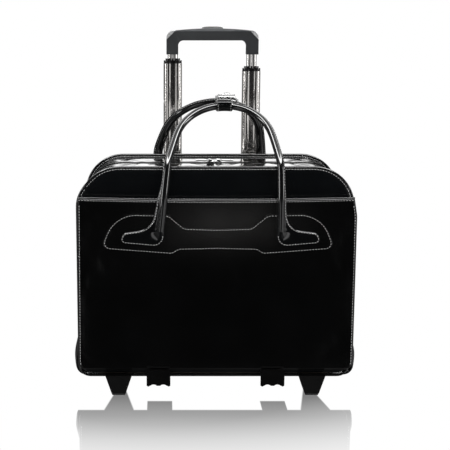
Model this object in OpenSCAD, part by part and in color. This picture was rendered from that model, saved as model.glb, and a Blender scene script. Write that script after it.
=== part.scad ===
// Rolling laptop case: a soft leather case on a two-stage telescopic trolley.
// Frame: +Z up, ground at z = 0, front of the case faces -Y, +X to the right seen from the front.
// Origin: on the ground, at the centre of the overall box. Units: millimetres.

/* [Case] */
// Overall width across the front wall piping
case_w = 400; // [390:1:402]
// Height of the top piping above the ground
case_top = 340; // [338:1:344]
// Depth from the front wall to the outside of the back wall
case_depth = 155; // [152:1:158]
// Radius of the top corners
top_corner_r = 60; // [50:1:64]
// Radius of the bottom corners of the gusset
bottom_corner_r = 34; // [26:1:38]
// Height of the underside of the case
underside_z = 24; // [24:0.5:25]
// How far the side gusset bulges past the front wall on each side
bulge = 7; // [5:0.5:8]
// How far the top gusset sits inside the edges of the front and back walls
rim = 1; // [0:0.5:4]
// Thickness of a leather and board wall
wall = 2.5; // [2:0.1:3]
// Radius of the piping cord
piping_r = 2; // [1.5:0.1:2.2]

/* [Front pocket] */
// Depth of the front pocket
pocket_depth = 15; // [13:0.5:16]
// Height of the bottom edge of the pocket panel
pocket_bottom = 40; // [38:1:42]
// Height of the pocket mouth
pocket_mouth = 294; // [290:1:298]
// Half-width of the lobed trim
trim_half_w = 164; // [155:1:168]
// Height of the lower edge of the lobes
trim_bottom = 214; // [213:0.5:216]
// Height of the upper edge of the lobes
trim_top = 272.5; // [268:0.5:274]

/* [Carry handles] */
// Radius of the rolled leather cord
cord_r = 5.5; // [5:0.1:5.6]
// Half the distance between the two ankles of the front handle
front_ankle_x = 86; // [84:0.5:87]
// Half the distance between the two legs of the front arch
front_leg_x = 81; // [79:0.5:82]
// Half the distance between the two ankles of the rear handle
rear_ankle_x = 82; // [80:0.5:84]
// Half the distance between the two legs of the rear arch
rear_leg_x = 78; // [76:0.5:80]
// Sideways offset of the front handle's tabs, as they are sewn on
front_handle_x = 5; // [0:0.5:6]
// Sideways offset of the front arch, which leans over to one side
front_arch_x = 12; // [10:0.5:13]
// Tilt of the front handle arch towards the middle of the case
front_lean = 45; // [42:1:48]
// Tilt of the rear handle arch towards the middle of the case
rear_lean = 41; // [38:1:44]
// Width of the keeper that holds the two handles together
keeper_w = 25; // [22:1:26]
// Sideways place of the keeper
keeper_x = 13; // [12:0.5:14]

/* [Trolley] */
// Half the distance between the two tube centres
tube_x = 62; // [60:0.5:63]
// Distance from the front wall back to the tube centres
tube_depth = 178; // [177:0.5:179]
// Height of the top of the left middle collar
left_collar_top = 488; // [480:1:490]
// How much lower the right middle tube rests
right_drop = 12; // [8:1:12]
// Height of the lower end of the grip legs
grip_leg_bottom = 494.2; // [493:0.1:496]
// Height of the top of the grip
grip_top = 534.5; // [532:0.5:536]
// Height of the top of the release button
button_top = 539.7; // [538:0.1:540]
// Travel of the release button
press = 3; // [2:0.5:3]

/* [Wheels and feet] */
// Wheel radius
wheel_r = 25; // [23:0.5:25]
// Tyre width
wheel_w = 22; // [18:1:22]
// Distance from the centre line to a wheel's middle
wheel_x = 165; // [163:1:166]
// Half the distance between the two front feet
foot_x = 143; // [140:1:145]

/* [Hidden] */
$fn = 96;

// Depths are measured back from the front wall and turned into y by at().
handle_reach = 28;                                  // front of the handle legs, ahead of the front wall
rear_reach = 208;                                   // back of the wheels, behind the front wall
mid_depth = (rear_reach - handle_reach) / 2;
function at(depth) = depth - mid_depth;

gap = 0.4;                                          // clearance between sewn or stacked pieces
panel_half_w = case_w / 2 - 2 * piping_r;           // front and back walls sit inside their piping
panel_top = case_top - 2 * piping_r;
panel_corner_r = top_corner_r - 2 * piping_r;
panel_bottom = underside_z + 6;
gusset_half_w = case_w / 2 + bulge;
gusset_top = panel_top - rim;
gusset_split_z = 215;                               // where the top gusset meets the side gusset
gusset_start = 3.6 + gap;
gusset_end = case_depth - 3.6 - gap;
zip_depth = case_depth / 2 - 0.5;
tape_w = 6.4;
pocket_face = -pocket_depth;
trim_t = 1.5;
tab_t = 3.5;

ankle_z = 250;                                      // where a handle leg leaves its tab
flex_z = case_top + 6;                              // where a handle bends over the top edge
front_leg_depth = -22.5;
front_flex_depth = -9;
rear_leg_depth = case_depth + 6.5;
leg_joint_gap = 6;
front_straight = 44;                                // height of the straight part of the front arch
rear_straight = 47;                                 // height of the straight part of the rear arch
arch_tilt = 10.8;                                   // inward tilt of that straight part
front_bow = bow_of(front_leg_x, front_straight);
rear_bow = bow_of(rear_leg_x, rear_straight);

// Half-width at the bend line, straight height, radius and centre height of an arch.
function bow_of(half_w, straight) =
    let (r = (half_w - straight * tan(arch_tilt)) / cos(arch_tilt))
    [half_w, straight, r, straight - r * sin(arch_tilt)];

tube_t = 1;
mid_lobe_r = 7.5;
mid_lobe_x = 7;
inner_lobe_r = 5;
inner_lobe_x = 3;
outer_lobe_r = 10;
tube_y = at(tube_depth);
mid_len = 285;
collar_h = 8;
collar_plug = 25;                                   // how far a collar reaches down inside its tube
outer_bottom = 40;
outer_top = 320;
outer_plug = 30;
inner_bottom = 206;
foot_h = 30;
spigot_h = 11;                                      // part of an inner foot that sits inside its tube
pin_z = inner_bottom + 15;
pin_r = 2.5;
rod_r = 1.5;
rod_slot = 3.4;
spring_h = 23;
collar_r = 2.85;                                    // spring collar on a release rod
wire_r = 0.45;
spring_low = inner_bottom + foot_h + spigot_h + 0.05;
grip_depth = 22;
skin_bottom = grip_top - 4.5;
bar_bottom = 515.8;
tube_end = bar_bottom + 1;                          // top of the inner tubes, inside the grip
shoulder_x = 58;
grip_half_w = 72;
grip_leg_inner = 53.6;
base_top = 66;
cheek_t = 4;
cheek_inner = wheel_w / 2 + 1.5;
axle_half = cheek_inner + cheek_t;
base_half_w = wheel_x - axle_half - 3;
rail_top = underside_z - gap;
axle_r = 3;
run = 0.05;                                         // radial running clearance

// ---------- shared shapes ----------

// Extrudes a front-view outline between two depths behind the front wall.
module slab(from, to) {
    translate([0, at(to), 0])
        rotate([90, 0, 0])
            linear_extrude(to - from)
                children();
}

// Front-view outline with one radius for the top corners and another for the bottom corners.
module outline(half_w, bottom, top, r_top, r_bottom) {
    square_between([-half_w, bottom + r_bottom], [half_w, top - r_top]);
    square_between([-half_w + r_bottom, bottom], [half_w - r_bottom, bottom + r_bottom]);
    square_between([-half_w + r_top, top - r_top], [half_w - r_top, top]);
    for (side = [-1, 1]) {
        translate([side * (half_w - r_top), top - r_top])
            circle(r_top);
        translate([side * (half_w - r_bottom), bottom + r_bottom])
            circle(r_bottom);
    }
}

module square_between(low, high) {
    translate(low)
        square(high - low);
}

module box_between(low, high) {
    translate(low)
        cube(high - low);
}

module both_sides() {
    for (side = [0, 1])
        mirror([side, 0, 0])
            children();
}

module rod_between(start, end, r) {
    reach = end - start;
    translate(start)
        rotate([0, acos(reach.z / norm(reach)), atan2(reach.y, reach.x)])
            cylinder(r = r, h = norm(reach));
}

// Double-lobed tube section: two circles joined by a slightly shallower web.
module lobe_section(r, spread) {
    square([2 * spread, 2 * r - 2], center = true);
    for (side = [-1, 1])
        translate([side * spread, 0])
            circle(r);
}

module lobe_tube(r, spread, bottom, top) {
    translate([0, 0, bottom])
        linear_extrude(top - bottom)
            difference() {
                lobe_section(r, spread);
                lobe_section(r - tube_t, spread);
            }
}

module at_tube(side) {
    translate([side * tube_x, tube_y, 0])
        children();
}

// ---------- case shell ----------

module front_wall() {
    color("#101010")
        slab(0, 3)
            outline(panel_half_w, panel_bottom, panel_top, panel_corner_r, bottom_corner_r - 8);
}

module back_wall() {
    color("#101010")
        slab(case_depth - 3, case_depth)
            outline(panel_half_w, panel_bottom, panel_top, panel_corner_r, bottom_corner_r - 8);
}

module side_gusset() {
    color("#0c0c0c")
        slab(gusset_start, gusset_end)
            difference() {
                outline(gusset_half_w, underside_z, panel_top, top_corner_r, bottom_corner_r);
                outline(gusset_half_w - wall, underside_z + wall, panel_top + 20, top_corner_r,
                        bottom_corner_r - wall);
                square_between([-case_w, gusset_split_z], [case_w, 2 * case_top]);
            }
}

module top_gusset_arch(outside, thickness) {
    difference() {
        outline(panel_half_w - rim - outside, underside_z, gusset_top - outside,
                panel_corner_r - rim - outside, 20);
        outline(panel_half_w - rim - outside - thickness, underside_z - 20,
                gusset_top - outside - thickness, panel_corner_r - rim - outside - thickness, 20);
        square_between([-case_w, 0], [case_w, gusset_split_z + gap]);
    }
}

module top_gusset_front() {
    color("#161616")
        slab(gusset_start, zip_depth - tape_w - 1)
            top_gusset_arch(0, wall);
}

module top_gusset_rear() {
    color("#161616")
        slab(zip_depth + tape_w + 1, gusset_end)
            top_gusset_arch(0, wall);
}

module zip_tapes() {
    color("#181818")
        for (side = [-1, 1])
            slab(zip_depth + side * (tape_w / 2 + gap) - tape_w / 2,
                 zip_depth + side * (tape_w / 2 + gap) + tape_w / 2)
                top_gusset_arch(0.2, 1.2);
}

module zip_teeth() {
    color("#2a2a2c")
        for (side = [-1, 1])
            slab(zip_depth + side * 1.1 - 0.8, zip_depth + side * 1.1 + 0.8)
                top_gusset_arch(-1.2, 1.3);
}

module pocket_outline(inset) {
    difference() {
        outline(case_w / 2 - inset, pocket_bottom + inset, case_top, top_corner_r - inset, 8);
        square_between([-case_w, pocket_mouth - inset], [case_w, 2 * case_top]);
    }
}

module front_pocket_panel() {
    color("#0b0b0b")
        slab(pocket_face, pocket_face + wall)
            pocket_outline(0);
}

module pocket_gusset() {
    color("#0e0e0e")
        slab(pocket_face + wall + 0.1, -0.9)
            difference() {
                pocket_outline(0);
                outline(case_w / 2 - wall, pocket_bottom + wall, case_top + 90, 20, 8 - wall);
            }
}

// Welt along the mouth of the front pocket.
module mouth_trim() {
    color("#121212")
        slab(pocket_face, pocket_face + 4)
            square_between([-case_w / 2 + 6, pocket_mouth + 0.2], [case_w / 2 - 6, pocket_mouth + 3]);
}

// One half of the lobed trim: a narrow bar that widens into a lobe with a large upper outer corner.
module half_lobed_trim() {
    bar_bottom = trim_bottom + 5;
    bar_top = trim_top - 18.5;
    upper_r = 36;
    lower_r = 12;
    neck_x = 60;
    square_between([0, bar_bottom], [neck_x + 10, bar_top]);
    square_between([neck_x + 12, trim_bottom], [trim_half_w - upper_r, trim_top]);
    square_between([neck_x, trim_bottom + 9], [trim_half_w, trim_top - upper_r]);
    square_between([trim_half_w - upper_r, trim_bottom], [trim_half_w - lower_r, trim_top - upper_r]);
    intersection() {
        translate([trim_half_w - upper_r, trim_top - upper_r])
            circle(upper_r);
        square_between([0, trim_bottom + lower_r], [trim_half_w, trim_top]);
    }
    translate([trim_half_w - lower_r, trim_bottom + lower_r])
        circle(lower_r);
    translate([neck_x + 12, trim_bottom + 9])
        circle(9);
    translate([neck_x + 12, trim_top - 16])
        circle(16);
}

module lobed_trim() {
    color("#0d0d0d")
        slab(pocket_face - trim_t - 0.05, pocket_face - 0.05)
            both_sides()
                half_lobed_trim();
}

// Boot-shaped tab: the toe points outwards and the ankle takes the handle leg.
module boot_outline(ankle_x) {
    sole = 226;
    heel_x = ankle_x - 5;
    heel_r = 8;
    toe_x = ankle_x + 56.5;
    toe_r = 6;
    toe_rise = 2;
    square_between([heel_x + heel_r, sole], [ankle_x + 8, ankle_z - 1]);
    square_between([heel_x, sole + heel_r], [heel_x + heel_r + 1, ankle_z - 1]);
    translate([heel_x + heel_r, sole + heel_r])
        circle(heel_r);
    translate([toe_x - toe_r, sole + toe_rise + toe_r])
        circle(toe_r);
    polygon([[ankle_x, sole], [toe_x - toe_r, sole + toe_rise],
             [toe_x - toe_r + 1, sole + toe_rise + 2 * toe_r - 0.1],
             [ankle_x + 22, ankle_z - 4], [ankle_x + 7, ankle_z - 1]]);
}

module handle_tabs() {
    color("#0a0a0a") {
        translate([front_handle_x, 0, 0])
            slab(pocket_face - trim_t - tab_t - 0.1, pocket_face - trim_t - 0.1)
                both_sides()
                    boot_outline(front_ankle_x);
        slab(case_depth + 0.1, case_depth + tab_t)
            both_sides()
                boot_outline(rear_ankle_x);
    }
}

// Cord that follows the edge of a wall, centred one cord radius outside it.
module piping_loop(depth) {
    half_w = case_w / 2 - piping_r;
    top = case_top - piping_r;
    bottom = panel_bottom - piping_r;
    top_r = top_corner_r - piping_r;
    low_r = bottom_corner_r - 6;
    translate([0, at(depth), 0])
        rotate([90, 0, 0]) {
            both_sides() {
                translate([half_w, bottom + low_r, 0])
                    rotate([-90, 0, 0])
                        cylinder(r = piping_r, h = top - top_r - bottom - low_r);
                translate([half_w - top_r, top - top_r, 0])
                    rotate_extrude(angle = 90)
                        translate([top_r, 0])
                            circle(piping_r);
                translate([half_w - low_r, bottom + low_r, 0])
                    rotate([0, 0, -90])
                        rotate_extrude(angle = 90)
                            translate([low_r, 0])
                                circle(piping_r);
            }
            translate([-half_w + top_r, top, 0])
                rotate([0, 90, 0])
                    cylinder(r = piping_r, h = 2 * (half_w - top_r));
            translate([-half_w + low_r, bottom, 0])
                rotate([0, 90, 0])
                    cylinder(r = piping_r, h = 2 * (half_w - low_r));
        }
}

module piping() {
    color("#0a0a0a") {
        piping_loop(1.5);
        piping_loop(case_depth - 1.5);
    }
}

module base_board() {
    color("#303030")
        box_between([-gusset_half_w + bottom_corner_r, at(gusset_start + 2), underside_z + wall + 0.2],
                    [gusset_half_w - bottom_corner_r, at(gusset_end - 2), underside_z + wall + 3.2]);
}

// Padded wall that keeps a laptop against the back of the case.
module laptop_divider() {
    color("#3a3a3e")
        slab(case_depth - 46, case_depth - 40)
            outline(panel_half_w - 10, underside_z + 10, panel_top - 46, 24, 12);
}

// ---------- carry handles ----------

// Point of a front leg at a height: it follows the pocket, then slopes back over the top edge.
function front_leg_point(side, z) =
    let (mouth_clear_z = pocket_mouth + 6,
         up = (z - ankle_z) / (flex_z - ankle_z),
         back = max(0, (z - mouth_clear_z) / (flex_z - mouth_clear_z)))
    [front_handle_x + (front_arch_x - front_handle_x) * up
         + side * (front_ankle_x + (front_leg_x - front_ankle_x) * up),
     at(front_leg_depth + (front_flex_depth - front_leg_depth) * back), z];

module front_handle_legs() {
    knee_z = pocket_mouth + 6;
    color("#0a0a0a")
        for (side = [-1, 1]) {
            knee = front_leg_point(side, knee_z);
            rod_between(front_leg_point(side, ankle_z + leg_joint_gap), knee, cord_r);
            translate(knee)
                sphere(cord_r);
            rod_between(knee, front_leg_point(side, flex_z - 4), cord_r);
        }
}

module rear_handle_legs() {
    color("#0a0a0a")
        for (side = [-1, 1])
            rod_between([side * rear_ankle_x, at(rear_leg_depth), ankle_z + leg_joint_gap],
                        [side * rear_leg_x, at(rear_leg_depth), flex_z - 4], cord_r);
}

// Handle arch in its own plane: x across, y up the plane, with its bend line at y = 0.
module arch_cord(bow) {
    clear = 7 / cos(arch_tilt);
    into_arc = 4;
    both_sides()
        translate([bow[0], 0, 0])
            rotate([0, 0, arch_tilt])
                translate([0, clear, 0])
                    rotate([-90, 0, 0])
                        cylinder(r = cord_r - 0.3, h = bow[1] / cos(arch_tilt) - clear + into_arc);
    translate([0, bow[3], 0])
        rotate([0, 0, arch_tilt])
            rotate_extrude(angle = 180 - 2 * arch_tilt)
                translate([bow[2], 0])
                    circle(cord_r);
}

// Sleeve round the top of an arch, between two distances to the right of its middle.
module arch_sleeve(bow, from, to) {
    start = acos(to / bow[2]);
    stop = acos(from / bow[2]);
    translate([0, bow[3], 0])
        rotate([0, 0, start])
            rotate_extrude(angle = stop - start)
                translate([bow[2], 0])
                    difference() {
                        circle(cord_r + 2.2);
                        circle(cord_r + 0.1);
                    }
}

module place_front_arch() {
    translate([front_arch_x, at(front_flex_depth), flex_z])
        rotate([90 - front_lean, 0, 0])
            children();
}

module place_rear_arch() {
    translate([0, at(rear_leg_depth), flex_z])
        rotate([90 + rear_lean, 0, 0])
            children();
}

module front_handle_arch() {
    color("#0a0a0a")
        place_front_arch()
            arch_cord(front_bow);
}

module rear_handle_arch() {
    color("#0a0a0a")
        place_rear_arch()
            arch_cord(rear_bow);
}

module keeper_band() {
    band_middle = keeper_x - front_arch_x;
    color("#0a0a0a")
        place_front_arch()
            arch_sleeve(front_bow, band_middle - keeper_w / 2, band_middle + keeper_w / 2);
}

module rear_keeper_band() {
    rear_band_start = 6;
    color("#0a0a0a")
        place_rear_arch()
            arch_sleeve(rear_bow, rear_band_start, rear_band_start + keeper_w);
}

// The flap lies over both handle arches and lifts about its front edge.
flap_front = [at(56), 428.6];
flap_tilt = 11;
flap_len = 37;
flap_t = 2;

module place_flap() {
    translate([keeper_x, flap_front[0], flap_front[1]])
        rotate([flap_tilt, 0, 0])
            children();
}

module keeper_flap() {
    color("#0a0a0a")
        place_flap()
            box_between([-keeper_w / 2, 0, 0], [keeper_w / 2, flap_len, flap_t]);
}

module keeper_clasp() {
    color("#b8bac0")
        place_flap()
            translate([4.5, 22, flap_t]) {
                box_between([-keeper_w / 2, -8, 0], [keeper_w / 2, 8, 2]);
                cylinder(r = 4.2, h = 6);
            }
}

// ---------- zip hardware ----------

teeth_top = gusset_top + 1.2;

module slider_shape() {
    top_plate = teeth_top + 0.4;
    for (side = [-1, 1])
        box_between([-5, side * 4.3 - 0.8, gusset_top + 0.3], [5, side * 4.3 + 0.8, top_plate + 1.4]);
    box_between([-5, -4.3, top_plate], [5, 4.3, top_plate + 1.4]);
    difference() {
        box_between([-2.5, -1.4, top_plate + 1.4], [2.5, 1.4, top_plate + 4.4]);
        translate([0, -3, top_plate + 2.7])
            rotate([-90, 0, 0])
                cylinder(r = 0.9, h = 6);
    }
}

// Pull tab with a hinge pin through the slider's bridge, lying outwards.
module pull_shape() {
    hinge = teeth_top + 3.1;
    translate([0, 0, hinge])
        rotate([90, 0, 0])
            translate([0, 0, -3.4])
                cylinder(r = 0.8, h = 6.8);
    for (side = [-1, 1])
        box_between([-0.8, side * 2.6 - 0.8, hinge - 0.7], [9, side * 2.6 + 0.8, hinge + 0.7]);
    difference() {
        box_between([6, -3.4, hinge - 0.7], [22, 3.4, hinge + 0.7]);
        translate([18.5, 0, hinge - 2])
            cylinder(r = 1.6, h = 4);
    }
}

module place_slider(side) {
    translate([side * 6, at(zip_depth), 0])
        mirror([side < 0 ? 1 : 0, 0, 0])
            children();
}

module zip_slider_left() { color("#c8c8cc") place_slider(-1) slider_shape(); }
module zip_slider_right() { color("#c8c8cc") place_slider(1) slider_shape(); }
module zip_pull_left() { color("#c8c8cc") place_slider(-1) pull_shape(); }
module zip_pull_right() { color("#c8c8cc") place_slider(1) pull_shape(); }

// ---------- trolley fixed to the case ----------

bracket_bottom = 296;
cover_half_w = 92;
cover_top = 222;
cover_back = 193;
cover_t = 2;

// Three-sided leather channel over the lower part of the tubes.
module trolley_cover() {
    color("#121212")
        translate([0, 0, base_top + 1])
            linear_extrude(cover_top - base_top - 1)
                difference() {
                    square_between([-cover_half_w, at(case_depth + 0.2)], [cover_half_w, at(cover_back)]);
                    square_between([-cover_half_w + cover_t, at(case_depth - 1)],
                                   [cover_half_w - cover_t, at(cover_back - cover_t)]);
                }
}

module trolley_base() {
    color("#141414")
        difference() {
            slab(case_depth + 0.5, 200)
                outline(base_half_w, underside_z, base_top, 8, 6);
            for (side = [-1, 1])
                at_tube(side)
                    translate([0, 0, outer_bottom - 1])
                        linear_extrude(base_top)
                            lobe_section(outer_lobe_r, mid_lobe_x);
        }
}

wheel_y = at(rear_reach - 25);

// Fork over each wheel: two cheeks joined by a curved mudguard.
module wheel_brackets() {
    fender_r = wheel_r + 3;
    far = 60;
    color("#141414")
        both_sides() {
            translate([wheel_x, wheel_y, wheel_r])
                rotate([0, 90, 0])
                    difference() {
                        cylinder(r = fender_r + 3, h = 2 * axle_half, center = true);
                        cylinder(r = fender_r, h = 2 * cheek_inner, center = true);
                        cylinder(r = axle_r, h = 2 * far, center = true);
                        box_between([8, -far, -far], [far, far, far]);
                        box_between([-far, -far, -far], [far, at(case_depth + 0.6) - wheel_y, far]);
                        box_between([-far, 16, -far], [far, far, far]);
                    }
            box_between([base_half_w + 0.1, wheel_y - 14, wheel_r + 12],
                        [wheel_x - axle_half + 1, wheel_y + 12, wheel_r + 26]);
        }
}

module outer_tubes() {
    color("#9a9ca0")
        for (side = [-1, 1])
            at_tube(side)
                lobe_tube(outer_lobe_r, mid_lobe_x, outer_bottom, outer_top);
}

module outer_collars() {
    color("#111111")
        for (side = [-1, 1])
            at_tube(side)
                difference() {
                    union() {
                        translate([0, 0, outer_top + 0.05])
                            linear_extrude(15)
                                lobe_section(outer_lobe_r + 0.5, mid_lobe_x);
                        translate([0, 0, outer_top - outer_plug])
                            linear_extrude(outer_plug + 1)
                                lobe_section(outer_lobe_r - tube_t, mid_lobe_x);
                    }
                    translate([0, 0, outer_top - outer_plug - 1])
                        linear_extrude(outer_plug + 20)
                            lobe_section(mid_lobe_r + 0.2, mid_lobe_x);
                }
}

module top_bracket() {
    pad_half_w = 44;
    color("#141414")
        difference() {
            union() {
                box_between([-tube_x - 20, at(tube_depth - 10.5), bracket_bottom],
                            [tube_x + 20, at(tube_depth + 12), outer_top - 2]);
                box_between([-pad_half_w, at(case_depth + 0.1), bracket_bottom],
                            [pad_half_w, at(tube_depth - 10), outer_top - 2]);
            }
            for (side = [-1, 1])
                at_tube(side)
                    translate([0, 0, bracket_bottom - 1])
                        linear_extrude(60)
                            lobe_section(outer_lobe_r, mid_lobe_x);
        }
}

rail_x = 84;
rail_half_w = 14;
rail_t = 5;
rail_front = -13;
rail_back = 198;

module support_rails() {
    color("#141414")
        for (side = [-1, 1])
            box_between([side * rail_x - rail_half_w, at(rail_front), rail_top - rail_t],
                        [side * rail_x + rail_half_w, at(rail_back), rail_top]);
}

// Claw that hooks over the lower front edge; its lower edge is gently waved with a nub at each end.
module clip_face() {
    half_w = 17.5;
    bottom = 15.5;
    difference() {
        square_between([-half_w, bottom + 1], [half_w, pocket_bottom + 1]);
        for (side = [-1, 1])
            translate([side * half_w / 2.4, bottom - 4])
                circle(7);
    }
    for (side = [-1, 1])
        translate([side * (half_w - 2.5), bottom + 2.5])
            circle(2.5);
}

module front_clips() {
    clip_t = 4;
    color("#121212")
        for (side = [-1, 1])
            translate([side * rail_x, 0, 0]) {
                slab(pocket_face - clip_t, pocket_face - 0.2)
                    clip_face();
                slab(pocket_face - clip_t, rail_front - 0.1)
                    square_between([-rail_half_w, rail_top - rail_t], [rail_half_w, rail_top]);
            }
}

foot_bottom_half = 9.5;
foot_top_half = 19.5;
pad_t = 3;
foot_top_z = 30;
foot_front = -14;
foot_back = 26;

// Half-width of the tapered foot at a height above the ground.
function foot_half(z) = foot_bottom_half + (foot_top_half - foot_bottom_half) * z / foot_top_z;

module foot_slice(low, high) {
    polygon([[-foot_half(low), low], [foot_half(low), low],
             [foot_half(high), high], [-foot_half(high), high]]);
}

module front_feet() {
    color("#141414")
        for (side = [-1, 1])
            translate([side * foot_x, 0, 0]) {
                slab(foot_front, -0.9)
                    foot_slice(pad_t, foot_top_z);
                slab(-1, foot_back)
                    foot_slice(pad_t, rail_top);
            }
}

module foot_pads() {
    color("#1c1c1c")
        for (side = [-1, 1])
            translate([side * foot_x, 0, 0])
                slab(foot_front + 1, foot_back - 1)
                    foot_slice(0, pad_t - 0.05);
}

// Screw heads under the rails and on the back of the upper bracket.
module frame_screws() {
    head_r = 3.5;
    head_h = 2;
    color("#707276") {
        for (side = [-1, 1])
            for (depth = [165, 190])
                translate([side * rail_x, at(depth), rail_top - rail_t - head_h - 0.1])
                    cylinder(r = head_r, h = head_h);
        for (x = [-25, 25])
            translate([x, at(tube_depth + 12.1), bracket_bottom + 11])
                rotate([-90, 0, 0])
                    cylinder(r = head_r, h = head_h);
    }
}

module axle_bolts() {
    color("#808288")
        for (side = [-1, 1])
            translate([side * wheel_x, wheel_y, wheel_r])
                rotate([0, 90, 0]) {
                    translate([0, 0, -axle_half - 0.1])
                        cylinder(r = axle_r - run, h = 2 * axle_half + 0.2);
                    for (end = [-1, 1])
                        translate([0, 0, end * (axle_half + 1.35) - 1.25])
                            cylinder(r = 5, h = 2.5);
                }
}

// ---------- middle stage ----------

function collar_top(side) = left_collar_top - (side > 0 ? right_drop : 0);
function mid_top(side) = collar_top(side) - collar_h;
function mid_bottom(side) = mid_top(side) - mid_len;

module mid_tube(side) {
    hole_z = pin_z + 200;
    color("#c4c6ca")
        difference() {
            at_tube(side)
                lobe_tube(mid_lobe_r, mid_lobe_x, mid_bottom(side), mid_top(side));
            translate([side * tube_x, tube_y, hole_z])
                rotate([0, side * 90, 0])
                    cylinder(r = pin_r + 0.3, h = 30);
        }
}

// Collar at the top of a middle tube and guide foot at its lower end.
module mid_guides(side) {
    top = collar_top(side);
    low = mid_bottom(side);
    color("#101010")
        at_tube(side) {
            difference() {
                union() {
                    translate([0, 0, top - collar_h + 0.05])
                        linear_extrude(collar_h - 3)
                            lobe_section(mid_lobe_r - 0.3, mid_lobe_x);
                    translate([0, 0, top - 3])
                        linear_extrude(3)
                            lobe_section(mid_lobe_r - 1.5, mid_lobe_x - 1.5);
                    translate([0, 0, top - collar_h - collar_plug])
                        linear_extrude(collar_plug + 1)
                            lobe_section(mid_lobe_r - tube_t, mid_lobe_x);
                }
                translate([0, 0, top - collar_h - collar_plug - 1])
                    linear_extrude(collar_plug + collar_h + 2)
                        lobe_section(inner_lobe_r + 0.2, inner_lobe_x);
            }
            translate([0, 0, low - 6])
                linear_extrude(5.9)
                    lobe_section(outer_lobe_r - tube_t - 0.1, mid_lobe_x);
            translate([0, 0, low - 1])
                linear_extrude(6)
                    lobe_section(mid_lobe_r - tube_t - 0.05, mid_lobe_x);
        }
}

module mid_tube_left() { mid_tube(-1); }
module mid_tube_right() { mid_tube(1); }
module mid_guides_left() { mid_guides(-1); }
module mid_guides_right() { mid_guides(1); }

// ---------- inner stage and grip ----------

module inner_tubes() {
    color("#c4c6ca")
        for (side = [-1, 1])
            at_tube(side)
                lobe_tube(inner_lobe_r, inner_lobe_x, inner_bottom + foot_h + 0.1, tube_end);
}

// Guide foot of an inner tube: holds the lock pin and lets the release rod reach it.
module inner_feet() {
    color("#101010")
        for (side = [-1, 1])
            at_tube(side)
                difference() {
                    union() {
                        translate([0, 0, inner_bottom])
                            linear_extrude(foot_h)
                                lobe_section(mid_lobe_r - tube_t - 0.1, mid_lobe_x);
                        translate([0, 0, inner_bottom + foot_h - 1])
                            linear_extrude(spigot_h + 1)
                                lobe_section(inner_lobe_r - tube_t, inner_lobe_x);
                    }
                    translate([0, 0, pin_z - pin_r - 1])
                        cylinder(r = 1.8, h = 60);
                    translate([side * -7, 0, pin_z])
                        rotate([0, side * 90, 0])
                            cylinder(r = pin_r + run, h = 30);
                }
}

// Pin with a slot whose 45 degree ramp the release rod pushes inwards as it comes down.
module lock_pin(side) {
    slot_in = -rod_r - 0.2;
    slot_out = rod_r + press + 0.4;
    ramp_top = pin_r - 0.1;
    tail = 3.5;
    reach = mid_lobe_x + mid_lobe_r - tube_t - 0.7;
    color("#8a8c90")
        at_tube(side)
            mirror([side < 0 ? 1 : 0, 0, 0])
                difference() {
                    translate([-tail, 0, pin_z])
                        rotate([0, 90, 0])
                            cylinder(r = pin_r, h = reach + tail);
                    translate([0, rod_slot / 2, pin_z])
                        rotate([90, 0, 0])
                            linear_extrude(rod_slot)
                                polygon([[slot_in, pin_r + 1], [slot_in, ramp_top],
                                         [slot_in + 2 * ramp_top, -ramp_top],
                                         [slot_in + 2 * ramp_top, -pin_r - 1],
                                         [slot_out, -pin_r - 1], [slot_out, pin_r + 1]]);
                }
}

module lock_pin_left() { lock_pin(-1); }
module lock_pin_right() { lock_pin(1); }

// Front-view outline of the grip: two legs joined by a bar, cut back where the corner caps sit.
module grip_outline() {
    leg_mid = (grip_half_w + grip_leg_inner) / 2;
    difference() {
        square_between([-grip_half_w, grip_leg_bottom], [grip_half_w, skin_bottom]);
        square_between([-grip_leg_inner + 8, grip_leg_bottom - 1], [grip_leg_inner - 8, bar_bottom]);
        square_between([-grip_leg_inner, grip_leg_bottom - 1], [grip_leg_inner, bar_bottom - 8]);
        for (side = [-1, 1]) {
            translate([side * (grip_leg_inner - 8), bar_bottom - 8])
                circle(8);
            polygon([[side * (shoulder_x + 2), skin_bottom + 1],
                     [side * (grip_half_w + 1), skin_bottom + 1],
                     [side * (grip_half_w + 1), bar_bottom + 1], [side * grip_half_w, bar_bottom + 1],
                     [side * (shoulder_x + 2), skin_bottom - 1]]);
        }
    }
}

module grip_body() {
    well_half_w = 20;                               // room for the button's foot
    color("#34373a")
        difference() {
            slab(tube_depth - grip_depth / 2, tube_depth + grip_depth / 2)
                grip_outline();
            for (side = [-1, 1])
                at_tube(side)
                    translate([0, 0, grip_leg_bottom - 1])
                        linear_extrude(tube_end - grip_leg_bottom + 1)
                            lobe_section(inner_lobe_r, inner_lobe_x);
            box_between([-tube_x - 3, tube_y - 3.5, tube_end - 0.1],
                        [tube_x + 3, tube_y + 3.5, linkage_top + 0.2]);
            box_between([-well_half_w, tube_y - 7, linkage_bottom - press - 0.4],
                        [well_half_w, tube_y + 7, skin_bottom + 1]);
        }
}

// Curved upper skin of the grip, with the slot for the button.
module grip_skin() {
    crown_r = 560;
    color("#85888c")
        difference() {
            slab(tube_depth - grip_depth / 2, tube_depth + grip_depth / 2)
                intersection() {
                    square_between([-shoulder_x, skin_bottom + 0.05], [shoulder_x, grip_top]);
                    translate([0, grip_top - crown_r])
                        circle(crown_r, $fn = 3000);
                }
            translate([0, tube_y, skin_bottom - 1])
                linear_extrude(20)
                    button_outline(0.3);
        }
}

module button_outline(grow) {
    square([22, 12 + 2 * grow], center = true);
    for (side = [-1, 1])
        translate([side * 11, 0])
            circle(6 + grow);
}

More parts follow.
